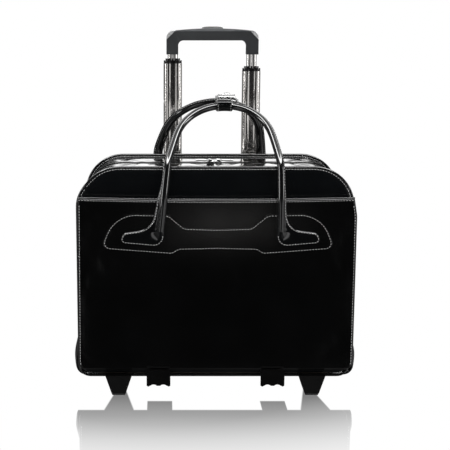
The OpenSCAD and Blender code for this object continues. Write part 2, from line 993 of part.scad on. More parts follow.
module grip_corner_caps() {
    cap_r = 12;
    color("#d8dadd")
        slab(tube_depth - grip_depth / 2, tube_depth + grip_depth / 2)
            for (side = [-1, 1])
                intersection() {
                    polygon([[side * (shoulder_x + 0.1), skin_bottom + 0.1],
                             [side * (shoulder_x + 0.1), skin_bottom + 3],
                             [side * grip_half_w, skin_bottom + 3], [side * grip_half_w, bar_bottom + 1.2],
                             [side * (shoulder_x + 2.3), skin_bottom - 0.9],
                             [side * (shoulder_x + 2.3), skin_bottom + 0.1]]);
                    union() {
                        translate([side * (grip_half_w - cap_r), grip_top - 3 - cap_r])
                            circle(cap_r);
                        square_between([side > 0 ? 0 : -grip_half_w, 0],
                                       [side > 0 ? grip_half_w : 0, grip_top - 3 - cap_r]);
                        square_between([side > 0 ? 0 : -grip_half_w + cap_r, 0],
                                       [side > 0 ? grip_half_w - cap_r : 0, grip_top - 3]);
                    }
                }
}

flange_top = skin_bottom - 0.1;
flange_t = 2;
linkage_bottom = tube_end + press + 0.8;
linkage_top = linkage_bottom + 2.8;

module release_button() {
    color("#2c2e31")
        translate([0, tube_y, 0]) {
            translate([0, 0, flange_top - flange_t])
                linear_extrude(button_top - flange_top + flange_t)
                    button_outline(0);
            translate([0, 0, flange_top - flange_t])
                linear_extrude(flange_t)
                    square([37, 13], center = true);
        }
}

// Bar under the button with a rod down each inner tube and a spring collar on each rod.
module release_linkage() {
    rod_tip = pin_z + pin_r - 0.25;
    color("#9a9ca0") {
        box_between([-tube_x - 2.5, tube_y - 2.5, linkage_bottom],
                    [tube_x + 2.5, tube_y + 2.5, linkage_top]);
        box_between([-8, tube_y - 2.5, linkage_bottom], [8, tube_y + 2.5, flange_top - flange_t - 0.05]);
        for (side = [-1, 1])
            translate([side * tube_x, tube_y, 0]) {
                translate([0, 0, rod_tip])
                    cylinder(r = rod_r, h = linkage_bottom - rod_tip + 0.5);
                translate([0, 0, spring_low + spring_h])
                    cylinder(r = collar_r, h = 2);
            }
    }
}

// Return springs round the rods, between the inner feet and the rod collars.
module rod_springs() {
    turns = 6;
    color("#a0a2a6")
        for (side = [-1, 1])
            at_tube(side)
                translate([0, 0, spring_low])
                    linear_extrude(spring_h - 0.05, twist = -360 * turns, slices = 14 * turns, $fn = 10)
                        translate([collar_r - wire_r, 0])
                            circle(wire_r);
}

// ---------- wheels ----------

hub_r = 17;
bearing_r = 8;
bearing_w = 6;

module place_wheel(side) {
    translate([side * wheel_x, wheel_y, wheel_r])
        rotate([0, 90, 0])
            children();
}

// Hub with a rim, a web with round openings and a bored boss.
module wheel_hub(side) {
    color("#3c3e42")
        place_wheel(side)
            difference() {
                cylinder(r = hub_r, h = wheel_w - 2, center = true);
                for (end = [-1, 1])
                    translate([0, 0, end * (wheel_w / 2 - 1)]) {
                        difference() {
                            cylinder(r = hub_r - 2.5, h = 9, center = true);
                            cylinder(r = bearing_r + 2.5, h = 10, center = true);
                        }
                        cylinder(r = bearing_r, h = 2 * bearing_w, center = true);
                    }
                cylinder(r = axle_r + 1.5, h = 60, center = true);
                for (turn = [0 : 72 : 359])
                    rotate([0, 0, turn])
                        translate([(hub_r + bearing_r) / 2, 0, 0])
                            cylinder(r = 1.8, h = 60, center = true);
            }
}

module wheel_tyre(side) {
    round_r = 3;
    color("#17181a")
        place_wheel(side)
            rotate_extrude()
                difference() {
                    square_between([hub_r, -wheel_w / 2], [wheel_r, wheel_w / 2]);
                    for (end = [-1, 1])
                        difference() {
                            translate([wheel_r, end * wheel_w / 2])
                                square(2 * round_r, center = true);
                            translate([wheel_r - round_r, end * (wheel_w / 2 - round_r)])
                                circle(round_r);
                        }
                }
}

module wheel_bearings(side) {
    color("#b0b2b6")
        place_wheel(side)
            for (end = [-1, 1])
                translate([0, 0, end * (wheel_w / 2 - 1 - bearing_w / 2)])
                    difference() {
                        cylinder(r = bearing_r, h = bearing_w, center = true);
                        cylinder(r = axle_r, h = 2 * bearing_w, center = true);
                    }
}

module wheel_hub_left() { wheel_hub(-1); }
module wheel_hub_right() { wheel_hub(1); }
module wheel_tyre_left() { wheel_tyre(-1); }
module wheel_tyre_right() { wheel_tyre(1); }
module wheel_bearings_left() { wheel_bearings(-1); }
module wheel_bearings_right() { wheel_bearings(1); }

front_wall();
back_wall();
side_gusset();
top_gusset_front();
top_gusset_rear();
zip_tapes();
zip_teeth();
front_pocket_panel();
pocket_gusset();
mouth_trim();
lobed_trim();
handle_tabs();
piping();
base_board();
laptop_divider();
rear_handle_legs();
trolley_cover();
trolley_base();
wheel_brackets();
outer_tubes();
outer_collars();
top_bracket();
support_rails();
front_clips();
front_feet();
foot_pads();
frame_screws();
axle_bolts();
zip_slider_left();
zip_slider_right();
zip_pull_left();
zip_pull_right();
front_handle_legs();
front_handle_arch();
keeper_band();
keeper_flap();
keeper_clasp();
rear_handle_arch();
rear_keeper_band();
mid_tube_left();
mid_tube_right();
mid_guides_left();
mid_guides_right();
inner_tubes();
inner_feet();
grip_body();
grip_skin();
grip_corner_caps();
release_button();
release_linkage();
rod_springs();
lock_pin_left();
lock_pin_right();
wheel_hub_left();
wheel_hub_right();
wheel_tyre_left();
wheel_tyre_right();
wheel_bearings_left();
wheel_bearings_right();
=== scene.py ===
"""Looks of a rolling laptop case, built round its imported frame. Metres, +Z up, the front faces -Y."""

import math

import bmesh
import bpy
import numpy as np
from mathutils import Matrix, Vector
from mathutils.geometry import delaunay_2d_cdt


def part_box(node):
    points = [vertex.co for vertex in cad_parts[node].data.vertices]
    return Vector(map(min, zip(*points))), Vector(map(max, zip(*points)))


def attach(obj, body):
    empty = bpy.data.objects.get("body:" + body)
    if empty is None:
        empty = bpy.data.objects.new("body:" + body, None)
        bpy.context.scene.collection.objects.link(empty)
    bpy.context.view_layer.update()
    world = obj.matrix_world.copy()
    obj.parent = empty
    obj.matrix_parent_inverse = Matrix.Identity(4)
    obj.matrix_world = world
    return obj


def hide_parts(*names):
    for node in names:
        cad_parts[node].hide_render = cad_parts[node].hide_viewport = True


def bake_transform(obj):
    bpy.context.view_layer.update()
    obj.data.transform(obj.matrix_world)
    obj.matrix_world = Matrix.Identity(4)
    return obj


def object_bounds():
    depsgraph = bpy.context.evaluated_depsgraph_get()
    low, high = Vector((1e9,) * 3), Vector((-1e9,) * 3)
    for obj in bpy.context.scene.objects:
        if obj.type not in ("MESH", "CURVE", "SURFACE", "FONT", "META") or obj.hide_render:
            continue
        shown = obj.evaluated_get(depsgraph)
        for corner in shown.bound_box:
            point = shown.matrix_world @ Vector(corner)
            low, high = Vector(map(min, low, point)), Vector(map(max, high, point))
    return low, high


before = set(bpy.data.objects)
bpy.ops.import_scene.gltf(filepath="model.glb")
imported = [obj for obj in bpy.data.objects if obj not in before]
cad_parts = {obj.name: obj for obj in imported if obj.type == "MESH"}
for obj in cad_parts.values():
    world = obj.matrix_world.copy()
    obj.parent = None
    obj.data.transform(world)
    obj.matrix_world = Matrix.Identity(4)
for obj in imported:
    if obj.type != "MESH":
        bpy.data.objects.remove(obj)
cad_low, cad_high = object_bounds()
MM = 0.001


# ---------- places taken from the frame ----------

def spot(node):
    """Lowest and highest corners of a CAD node as arrays."""
    low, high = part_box(node)
    return np.array(low), np.array(high)


wall_low, wall_high = spot("front_wall")
rear_low, rear_high = spot("back_wall")
pocket_low, pocket_high = spot("front_pocket_panel")
gusset_low, gusset_high = spot("side_gusset")
crown_low, crown_high = spot("top_gusset_front")
tail_low, tail_high = spot("top_gusset_rear")
trim_low, trim_high = spot("lobed_trim")
FRONT_Y = wall_low[1]                       # outer face of the front wall
BACK_Y = rear_high[1]                       # outer face of the back wall


def at(depth):
    """The y of a depth in millimetres behind the front wall."""
    return FRONT_Y + depth * MM


# ---------- curves ----------

def smoothstep(value, start, end):
    t = np.clip((np.asarray(value, float) - start) / (end - start), 0, 1)
    return t * t * (3 - 2 * t)


def unit(vectors):
    v = np.asarray(vectors, float)
    return v / np.linalg.norm(v, axis=-1, keepdims=True)


def path_lengths(points):
    steps = np.linalg.norm(np.diff(points, axis=0), axis=1)
    return np.concatenate([[0.0], np.cumsum(steps)])


def resample(points, step, closed=False):
    """The same path with evenly spaced points."""
    path = np.asarray(points, float)
    if closed:
        path = np.vstack([path, path[:1]])
    lengths = path_lengths(path)
    count = max(2, round(lengths[-1] / step))
    places = np.linspace(0, lengths[-1], count + 1)
    even = np.column_stack([np.interp(places, lengths, path[:, k]) for k in range(path.shape[1])])
    return even[:-1] if closed else even


def rounded(corners, closed=True, scale=MM):
    """Flat path through corners (x, z, radius) in millimetres, each turned with an arc of its radius."""
    arc_step = math.radians(7)
    path = []
    for i, (x, z, radius) in enumerate(corners):
        here = np.array([x, z], float)
        if radius == 0 or (not closed and i in (0, len(corners) - 1)):
            path.append(here)
            continue
        before = unit(np.array(corners[i - 1][:2]) - here)
        after = unit(np.array(corners[(i + 1) % len(corners)][:2]) - here)
        half = math.acos(np.clip(before @ after, -1, 1)) / 2
        centre = here + unit(before + after) * radius / math.sin(half)
        spoke_in = here + before * radius / math.tan(half) - centre
        spoke_out = here + after * radius / math.tan(half) - centre
        turn = math.pi - 2 * half
        steps = max(2, int(turn / arc_step) + 1)
        for k in range(steps + 1):
            a, b = math.sin((1 - k / steps) * turn), math.sin(k / steps * turn)
            path.append(centre + (a * spoke_in + b * spoke_out) / math.sin(turn))
    return np.array(path) * scale


def box_path(half_w, bottom, top, r_top, r_bottom):
    """Closed front-view outline in millimetres of a wall with rounded corners."""
    return rounded([(-half_w, bottom, r_bottom), (half_w, bottom, r_bottom),
                    (half_w, top, r_top), (-half_w, top, r_top)])


def side_normals(path, closed):
    """Flat normals to the right of a path's direction, outwards for an anticlockwise outline."""
    if closed:
        along = np.roll(path, -1, 0) - np.roll(path, 1, 0)
    else:
        along = np.gradient(path, axis=0)
    along = unit(along)
    return np.column_stack([along[:, 1], -along[:, 0]])


def grown(path, distance, closed=True):
    return path + side_normals(path, closed) * distance


def smoothed(path, rounds):
    """Path with its kinks softened."""
    out = path.copy()
    for _ in range(rounds):
        out[1:-1] = (out[:-2] + 2 * out[1:-1] + out[2:]) / 4
    return out


def edge_distance(points, outline, closed=True):
    """Distance of flat points to an outline."""
    start = outline if closed else outline[:-1]
    step = (np.roll(outline, -1, 0) if closed else outline[1:]) - start
    to = points[:, None] - start[None]
    t = np.clip((to * step).sum(2) / (step * step).sum(1), 0, 1)
    return np.linalg.norm(to - t[:, :, None] * step, axis=2).min(1)


def is_inside(points, outline):
    a, b = outline, np.roll(outline, -1, 0)
    x, z = points[:, :1], points[:, 1:]
    crosses = (a[:, 1] > z) != (b[:, 1] > z)
    rise = np.where(b[:, 1] == a[:, 1], 1e-12, b[:, 1] - a[:, 1])
    reach = (b[:, 0] - a[:, 0]) * (z - a[:, 1]) / rise + a[:, 0]
    return (crosses & (x < reach)).sum(1) % 2 == 1


# ---------- meshes ----------

def piece(name, verts, faces, material, sharp=50):
    """A mesh object with smooth shading that breaks at sharp edges."""
    mesh = bpy.data.meshes.new(name)
    mesh.from_pydata([tuple(v) for v in verts], [], [tuple(int(i) for i in f) for f in faces])
    mesh.validate()
    mesh.polygons.foreach_set("use_smooth", [True] * len(mesh.polygons))
    mesh.set_sharp_from_angle(angle=math.radians(sharp))
    mesh.materials.append(material)
    obj = bpy.data.objects.new(name, mesh)
    bpy.context.scene.collection.objects.link(obj)
    return obj


def outward_normals(obj):
    """Turns a closed mesh's faces outwards."""
    bm = bmesh.new()
    bm.from_mesh(obj.data)
    bmesh.ops.recalc_face_normals(bm, faces=bm.faces)
    bm.to_mesh(obj.data)
    bm.free()
    obj.data.set_sharp_from_angle(angle=math.radians(50))
    return obj


def loft_faces(rings, around, joined):
    """Quads between rows of points. around closes each row; joined closes the last row on to the first."""
    faces = []
    for i in range(rings if joined else rings - 1):
        a, b = i * around, (i + 1) % rings * around
        for j in range(around):
            k = (j + 1) % around
            faces.append((a + j, a + k, b + k, b + j))
    return faces


def tube(name, rings, material, joined=False):
    """Closed skin over rings of points, capped at both ends unless it joins up with itself."""
    rings = np.asarray(rings)
    count, around = rings.shape[:2]
    faces = loft_faces(count, around, joined)
    if not joined:
        faces.append(tuple(reversed(range(around))))
        faces.append(tuple(range((count - 1) * around, count * around)))
    return outward_normals(piece(name, rings.reshape(-1, 3), faces, material))


def carried(path, outward, section):
    """Rings of a flat section, (outward, sideways), carried along a path."""
    along = unit(np.gradient(path, axis=0))
    out = unit(outward - (outward * along).sum(1, keepdims=True) * along)
    side = np.cross(along, out)
    section = np.asarray(section)
    if section.ndim == 2:
        section = np.repeat(section[None], len(path), 0)
    return path[:, None] + section[:, :, :1] * out[:, None] + section[:, :, 1:] * side[:, None]


def cloth_grid(name, rows, material, facing):
    """Open sheet over rows of points, with its faces turned towards facing(point)."""
    rows = np.asarray(rows)
    count, across = rows.shape[:2]
    faces = []
    for i in range(count - 1):
        for j in range(across - 1):
            a = i * across + j
            faces.append((a, a + 1, a + across + 1, a + across))
    points = rows.reshape(-1, 3)
    a, b, c = (points[[f[k] for f in faces]] for k in (0, 1, 2))
    normals = np.cross(b - a, c - b)
    towards = facing((a + c) / 2)
    if (normals * towards).sum() < 0:
        faces = [f[::-1] for f in faces]
    return piece(name, points, faces, material)


def filled(outline, pitch, rims):
    """Triangles that fill an outline: loops just inside its edge, then an even grid."""
    loops = [outline] + [grown(outline, -rim) for rim in rims]
    low, high = outline.min(0), outline.max(0)
    grid = np.stack(np.meshgrid(np.arange(low[0] + pitch / 2, high[0], pitch),
                                np.arange(low[1] + pitch / 2, high[1], pitch)), -1).reshape(-1, 2)
    clear = (rims[-1] if rims else 0) + 0.6 * pitch
    grid = grid[is_inside(grid, outline)]
    grid = grid[edge_distance(grid, outline) > clear]
    points = np.vstack(loops + [grid])
    n = len(outline)
    edges = [(i, (i + 1) % n) for i in range(n)]
    flat, _, faces = delaunay_2d_cdt([Vector(p) for p in points], edges, [], 1, 1e-7)[:3]
    return np.array([tuple(v) for v in flat]), faces


def roll(distance, radius):
    """How far a rolled edge of this radius has turned back at a distance from the edge."""
    near = np.clip(radius - distance, 0, radius)
    return radius - np.sqrt(np.maximum(radius * radius - near * near, 0))


def sheet(name, outline, depth, pitch, rims, material, front=True):
    """Open leather sheet in front view; depth(x, z) gives its y, and front says which way it faces."""
    flat, faces = filled(outline, pitch, rims)
    points = np.column_stack([flat[:, 0], depth(flat[:, 0], flat[:, 1]), flat[:, 1]])
    obj = piece(name, points, faces, material)
    facing = -1 if front else 1
    normal_y = sum(p.normal.y * p.area for p in obj.data.polygons)
    if normal_y * facing < 0:
        obj.data.flip_normals()
    return obj


def thicken(obj, thickness):
    """Gives a sheet its thickness, towards its inner side."""
    mod = obj.modifiers.new("thickness", "SOLIDIFY")
    mod.thickness = thickness
    mod.offset = -1
    mod.use_even_offset = True
    return obj


def soften(obj, levels=1):
    mod = obj.modifiers.new("soft", "SUBSURF")
    mod.levels = mod.render_levels = levels
    return obj


def settle(obj, sewn, pressure, cap, slack):
    """Cloth simulation of a sheet sewn down where sewn(points) is 1; no point moves further than cap."""
    rest = np.array([v.co for v in obj.data.vertices])
    hold = sewn(rest)
    group = obj.vertex_groups.new(name="sewn")
    for i, weight in enumerate(hold):
        group.add([i], float(weight), "REPLACE")
    mod = obj.modifiers.new("cloth", "CLOTH")
    leather_cloth = mod.settings
    leather_cloth.quality = 6
    leather_cloth.mass = 0.5
    leather_cloth.tension_stiffness = 30
    leather_cloth.compression_stiffness = 30
    leather_cloth.shear_stiffness = 12
    leather_cloth.bending_stiffness = 10
    leather_cloth.vertex_group_mass = "sewn"
    leather_cloth.shrink_min = -slack
    leather_cloth.use_pressure = True
    leather_cloth.uniform_pressure_force = pressure
    leather_cloth.effector_weights.gravity = 0
    mod.point_cache.frame_start = 1
    mod.point_cache.frame_end = 20
    scene = bpy.context.scene
    for step in range(1, 21):
        scene.frame_set(step)
    settled = obj.evaluated_get(bpy.context.evaluated_depsgraph_get())
    moved = np.array([v.co for v in settled.data.vertices]) - rest
    obj.modifiers.remove(mod)
    scene.frame_set(1)
    length = np.maximum(np.linalg.norm(moved, axis=1, keepdims=True), 1e-9)
    final = rest + moved / length * cap * np.tanh(length / cap)
    obj.data.vertices.foreach_set("co", final.ravel())
    obj.data.update()
    obj.vertex_groups.clear()
    return obj


STITCH = 2.7 * MM
STITCH_PITCH = 4.1 * MM
THREAD_R = 0.29 * MM


def stitches(name, runs, material):
    """Rows of single stitches. Each run is (points, normals): a path and the direction its face looks."""
    sides = 6
    turns = np.arange(sides) * 2 * math.pi / sides
    ring = np.column_stack([np.zeros(sides), np.cos(turns), np.sin(turns)]) * THREAD_R
    inner = STITCH / 2 - THREAD_R
    shape = np.vstack([[(-STITCH / 2, 0, 0)], ring - (inner, 0, 0), ring + (inner, 0, 0), [(STITCH / 2, 0, 0)]])
    pattern = [(0, 1 + (j + 1) % sides, 1 + j) for j in range(sides)]
    pattern += [(1 + j, 1 + (j + 1) % sides, 1 + sides + (j + 1) % sides, 1 + sides + j) for j in range(sides)]
    last = 1 + 2 * sides
    pattern += [(1 + sides + j, 1 + sides + (j + 1) % sides, last) for j in range(sides)]
    verts, faces = [], []
    for points, normals in runs:
        points = np.asarray(points, float)
        normals = np.broadcast_to(np.asarray(normals, float), points.shape)
        lengths = path_lengths(points)
        count = max(1, round(lengths[-1] / STITCH_PITCH))
        middles = (np.arange(count) + 0.5) * lengths[-1] / count
        along = unit(np.gradient(points, lengths, axis=0))
        for middle in middles:
            here = np.array([np.interp(middle, lengths, points[:, k]) for k in range(3)])
            t = unit(np.array([np.interp(middle, lengths, along[:, k]) for k in range(3)]))
            n = np.array([np.interp(middle, lengths, normals[:, k]) for k in range(3)])
            n = unit(n - (n @ t) * t)
            axes = np.array([t, np.cross(n, t), n])
            first = len(verts)
            verts.extend(here + shape @ axes + n * 0.1 * MM)
            faces.extend(tuple(first + i for i in f) for f in pattern)
    return piece(name, verts, faces, material, sharp=80)


def ride(obj, body="root", *stands_for):
    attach(obj, body)
    if stands_for:
        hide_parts(*stands_for)
    return obj


# ---------- materials ----------

class Shader:
    """Short way to write a node material."""

    def __init__(self, name, world=False):
        self.owner = bpy.data.worlds.new(name) if world else bpy.data.materials.new(name)
        self.owner.use_nodes = True
        self.tree = self.owner.node_tree
        self.tree.nodes.clear()

    def node(self, kind, inputs=None, out=0, **settings):
        made = self.tree.nodes.new("ShaderNode" + kind)
        for key, value in settings.items():
            setattr(made, key, value)
        for key, value in (inputs or {}).items():
            if isinstance(value, bpy.types.NodeSocket):
                self.tree.links.new(value, made.inputs[key])
            else:
                made.inputs[key].default_value = value
        return made.outputs[out]

    def math(self, operation, a, b=0.0, c=0.0):
        return self.node("Math", {0: a, 1: b, 2: c}, operation=operation)

    def mix(self, factor, a, b):
        return self.node("Mix", {"Factor": factor, 6: a, 7: b}, out=2, data_type="RGBA")

    def ramp(self, value, *stops):
        """Colour ramp through (place, grey) stops."""
        made = self.tree.nodes.new("ShaderNodeValToRGB")
        elements = made.color_ramp.elements
        while len(elements) < len(stops):
            elements.new(0.5)
        for element, (place, grey) in zip(elements, stops):
            element.position = place
            element.color = (grey, grey, grey, 1)
        self.tree.links.new(value, made.inputs[0])
        return made.outputs[0]

    def range(self, value, low, high, to_low, to_high):
        return self.node("MapRange", {"Value": value, "From Min": low, "From Max": high,
                                      "To Min": to_low, "To Max": to_high})

    def finish(self, surface):
        kind = "OutputWorld" if isinstance(self.owner, bpy.types.World) else "OutputMaterial"
        made = self.tree.nodes.new("ShaderNode" + kind)
        self.tree.links.new(surface, made.inputs["Surface"])
        return self.owner


def grey(value, warm=0.0):
    return (value * (1 + warm), value, value * (1 - warm), 1)


def leather(name, tone, rough, grain=1.0, coat=0.0, cool=0.0, painted_sheen_centre=None):
    """Polished leather: pores and creases in the bump, cloudy gloss, tone that varies and edges worn lighter.
    Its last argument is the centre of a painted sheen: a soft paler patch in the base colour that stands in for a
    reflection."""
    s = Shader(name)
    place = s.node("TexCoord", out="Object")
    pores = s.node("TexVoronoi", {"Vector": place, "Scale": 1100.0}, feature="DISTANCE_TO_EDGE")
    fibres = s.node("TexNoise", {"Vector": place, "Scale": 2600.0, "Detail": 4.0})
    creases = s.node("TexNoise", {"Vector": place, "Scale": 90.0, "Detail": 6.0, "Distortion": 0.6})
    clouds = s.node("TexNoise", {"Vector": place, "Scale": 17.0, "Detail": 3.0})
    height = s.math("MULTIPLY_ADD", pores, 1.6, s.math("MULTIPLY", fibres, 0.5))
    height = s.math("MULTIPLY_ADD", creases, 0.8, height)
    bump = s.node("Bump", {"Strength": 0.10 * grain, "Distance": 0.0003, "Height": height})
    edge = s.ramp(s.node("NewGeometry", out="Pointiness"), (0.50, 0.0), (0.60, 1.0))
    tint = s.mix(clouds, grey(tone * 0.7, -cool), grey(tone * 1.3, -cool))
    tint = s.mix(s.math("MULTIPLY", edge, 0.35), tint, grey(tone * 6 + 0.004))
    # painted sheen: a soft paler patch, strongest at the given centre, stands in for a reflection
    if painted_sheen_centre:
        off = s.node("VectorMath", {0: place, 1: painted_sheen_centre}, operation="SUBTRACT")
        off = s.node("VectorMath", {0: off, 1: (0.09, 0.2, 0.036)}, operation="DIVIDE")
        far = s.node("VectorMath", {0: off}, out=1, operation="LENGTH")
        painted_sheen_weight = s.math("EXPONENT", s.math("MULTIPLY", s.math("MULTIPLY", far, far), -1.0))
        tint = s.mix(s.math("MULTIPLY", painted_sheen_weight, s.range(clouds, 0.3, 0.7, 0.7, 1.0)), tint, grey(0.022, 0.02))
    gloss = s.range(clouds, 0.3, 0.7, rough * 0.88, rough * 1.14)
    gloss = s.math("MULTIPLY_ADD", pores, -0.05 * grain, gloss)
    return s.finish(s.node("BsdfPrincipled", {
        "Base Color": tint, "Roughness": gloss, "Normal": bump, "Specular IOR Level": 0.5,
        "Coat Weight": coat, "Coat Roughness": 0.05}))


def metal(name, tone, rough, streak=0.0, warm=0.0, solid=1.0):
    """Metal with drawing lines along its height, faint smudges and fine scratches."""
    s = Shader(name)
    place = s.node("TexCoord", out="Object")
    stretched = s.node("Mapping", {"Vector": place, "Scale": (1.0, 1.0, 0.02)})
    lines = s.node("TexNoise", {"Vector": stretched, "Scale": 1800.0, "Detail": 2.0})
    smudges = s.node("TexNoise", {"Vector": place, "Scale": 35.0, "Detail": 4.0})
    tint = s.mix(smudges, grey(tone * 0.92, warm), grey(min(1, tone * 1.06), warm))
    gloss = s.range(smudges, 0.3, 0.7, rough * 0.7, rough * 1.3)
    bump = s.node("Bump", {"Strength": streak, "Distance": 0.0001, "Height": lines})
    return s.finish(s.node("BsdfPrincipled", {
        "Base Color": tint, "Metallic": solid, "Roughness": gloss, "Normal": bump}))


def plastic(name, tone, rough, grain=0.25, warm=0.0, specular=0.5):
    """Moulded plastic or rubber with a fine spark-eroded texture, uneven gloss and rubbed edges."""
    s = Shader(name)
    place = s.node("TexCoord", out="Object")
    texture = s.node("TexNoise", {"Vector": place, "Scale": 1500.0, "Detail": 3.0})
    clouds = s.node("TexNoise", {"Vector": place, "Scale": 40.0, "Detail": 3.0})
    edge = s.ramp(s.node("NewGeometry", out="Pointiness"), (0.51, 0.0), (0.62, 1.0))
    tint = s.mix(clouds, grey(tone * 0.85, warm), grey(tone * 1.15, warm))
    tint = s.mix(s.math("MULTIPLY", edge, 0.3), tint, grey(tone * 2.5 + 0.01, warm))
    gloss = s.range(clouds, 0.3, 0.7, rough * 0.9, rough * 1.1)
    bump = s.node("Bump", {"Strength": grain, "Distance": 0.00015, "Height": texture})
    return s.finish(s.node("BsdfPrincipled", {
        "Base Color": tint, "Roughness": gloss, "Normal": bump, "Specular IOR Level": specular}))


def cloth(name, tone, weave=1400.0, warm=0.0):
    """Plain woven fabric: two crossed sets of yarns."""
    s = Shader(name)
    place = s.node("TexCoord", out="Object")
    split = s.node("SeparateXYZ", {0: place})
    x, y, z = split.node.outputs
    warp = s.math("SINE", s.math("MULTIPLY", s.math("ADD", x, y), weave * 2.2))
    weft = s.math("SINE", s.math("MULTIPLY", s.math("ADD", z, s.math("MULTIPLY", y, 0.5)), weave * 2.2))
    yarns = s.math("MULTIPLY", warp, weft)
    fuzz = s.node("TexNoise", {"Vector": place, "Scale": 900.0, "Detail": 3.0})
    tint = s.mix(s.range(yarns, -1.0, 1.0, 0.0, 1.0), grey(tone * 0.6, warm), grey(tone * 1.3, warm))
    tint = s.mix(s.math("MULTIPLY", fuzz, 0.3), tint, grey(tone, warm))
    bump = s.node("Bump", {"Strength": 0.4, "Distance": 0.0002, "Height": yarns})
    return s.finish(s.node("BsdfPrincipled", {
        "Base Color": tint, "Roughness": 0.85, "Normal": bump, "Sheen Weight": 0.2}))


def thread(name):
    """Twisted white waxed thread."""
    s = Shader(name)
    place = s.node("TexCoord", out="Object")
    twist = s.node("TexWave", {"Vector": place, "Scale": 260.0, "Distortion": 3.0, "Detail": 2.0})
    wax = s.node("TexNoise", {"Vector": place, "Scale": 60.0})
    tint = s.mix(s.math("MULTIPLY", wax, 0.5), grey(0.88), grey(0.62, 0.03))
    bump = s.node("Bump", {"Strength": 0.3, "Distance": 0.0002, "Height": twist})
    return s.finish(s.node("BsdfPrincipled", {"Base Color": tint, "Roughness": 0.45, "Normal": bump}))


case_leather = leather("case_leather", 0.0040, 0.18, grain=0.6, cool=0.20)
crown_leather = leather("crown_leather", 0.0022, 0.12, grain=0.3, cool=0.08)
# the pocket leather has a painted sheen in its middle, just under the pocket's mouth
pocket_leather = leather("pocket_leather", 0.0012, 0.17, grain=0.8, cool=0.06, painted_sheen_centre=(0.01, -0.1, 0.26))
cord_leather = leather("cord_leather", 0.003, 0.14, grain=0.25, coat=0.6, cool=0.12)
lining = cloth("lining_cloth", 0.09)
tape_cloth = cloth("zip_tape_cloth", 0.02, weave=2200.0)
board = plastic("fibre_board", 0.05, 0.8, grain=0.5, warm=0.2)
sewing = thread("white_thread")
chrome = metal("bright_tube", 0.80, 0.17, streak=0.05, warm=0.03)
inner_chrome = metal("bright_inner_tube", 0.88, 0.10, streak=0.03, warm=0.02)
dull_metal = metal("drawn_aluminium", 0.45, 0.25, streak=0.10, warm=0.02)
clasp_metal = metal("polished_clasp", 0.7, 0.2)
cap_metal = metal("satin_cap", 0.9, 0.25, solid=0.5)
zip_metal = metal("nickel_zip", 0.75, 0.16)
steel = metal("plated_steel", 0.5, 0.3, streak=0.03)
black_plastic = plastic("black_plastic", 0.002, 0.34, specular=0.12)
collar_plastic = plastic("gloss_black_plastic", 0.008, 0.16, grain=0.05)
grip_plastic = plastic("grip_plastic", 0.035, 0.42, grain=0.2, warm=-0.06)
skin_plastic = plastic("grip_skin_plastic", 0.20, 0.30, grain=0.12, warm=-0.03)
button_plastic = plastic("button_plastic", 0.02, 0.3, grain=0.1)
rubber = plastic("black_rubber", 0.015, 0.7, grain=0.6, specular=0.3)
hub_plastic = plastic("hub_plastic", 0.05, 0.4)

NODE_FINISH = {
    "base_board": (board, 0), "laptop_divider": (lining, 0), "zip_tapes": (tape_cloth, 0),
    "outer_tubes": (dull_metal, 0), "mid_tube_left": (chrome, 0), "mid_tube_right": (chrome, 0),
    "inner_tubes": (inner_chrome, 0), "outer_collars": (collar_plastic, 0.8), "top_bracket": (black_plastic, 1.5),
    "mid_guides_left": (collar_plastic, 0.5), "mid_guides_right": (collar_plastic, 0.5),
    "trolley_base": (black_plastic, 2.0), "wheel_brackets": (black_plastic, 0.8),
    "support_rails": (black_plastic, 1.0), "front_clips": (black_plastic, 0.8),
    "front_feet": (black_plastic, 2.0), "foot_pads": (rubber, 0.6), "frame_screws": (steel, 0.5),
    "axle_bolts": (steel, 0.6), "inner_feet": (black_plastic, 0.4), "grip_body": (grip_plastic, 2.5),
    "grip_skin": (skin_plastic, 1.2), "grip_corner_caps": (cap_metal, 1.2),
    "release_linkage": (steel, 0.2), "rod_springs": (steel, 0),
    "lock_pin_left": (steel, 0.2), "lock_pin_right": (steel, 0.2),
    "zip_slider_left": (zip_metal, 0.3), "zip_slider_right": (zip_metal, 0.3),
    "zip_pull_left": (zip_metal, 0.3), "zip_pull_right": (zip_metal, 0.3),
    "wheel_hub_left": (hub_plastic, 0.4), "wheel_hub_right": (hub_plastic, 0.4),
    "wheel_tyre_left": (rubber, 0), "wheel_tyre_right": (rubber, 0),
    "wheel_bearings_left": (steel, 0.3), "wheel_bearings_right": (steel, 0.3),
}


def finish_nodes():
    """Gives each CAD node that stays its material and, where it is moulded, rounded edges."""
    for name, (material, round_mm) in NODE_FINISH.items():
        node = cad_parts[name]
        node.data.materials.clear()
        node.data.materials.append(material)
        if round_mm:
            weld = node.modifiers.new("weld", "WELD")
            weld.merge_threshold = 0.001 * MM
            bevel = node.modifiers.new("rounded_edges", "BEVEL")
            bevel.width = round_mm * MM
            bevel.segments = 3
            bevel.limit_method = "ANGLE"
            bevel.angle_limit = math.radians(40)
            bevel.use_clamp_overlap = True
            bevel.harden_normals = False


# ---------- case ----------

def body_half_width(z):
    """Half-width of the gusset, which sags outwards towards the bottom."""
    top = crown_high[0]
    sag = 7 * MM
    side = wall_high[0] + 5 * MM + sag * np.exp(-(np.maximum(z - 0.052, 0) / 0.026) ** 2)
    return side + (top - side) * smoothstep(z, 0.205, 0.285)


def gusset_outline(bottom_part):
    """Front-view path of the gusset's middle: round the bottom, or over the top."""
    low_z, top_z, split_z = gusset_low[2], crown_high[2], gusset_high[2]
    half, turn = gusset_high[0], 16
    if bottom_part:
        z, low = split_z / MM, low_z / MM
        corners = [(-half / MM, z, 0), (-half / MM, low, turn), (half / MM, low, turn), (half / MM, z, 0)]
    else:
        half, turn = crown_high[0], 55
        z, top = split_z / MM, top_z / MM
        corners = [(half / MM, z, 0), (half / MM, top, turn), (-half / MM, top, turn), (-half / MM, z, 0)]
    return resample(rounded(corners, closed=False), 5 * MM)


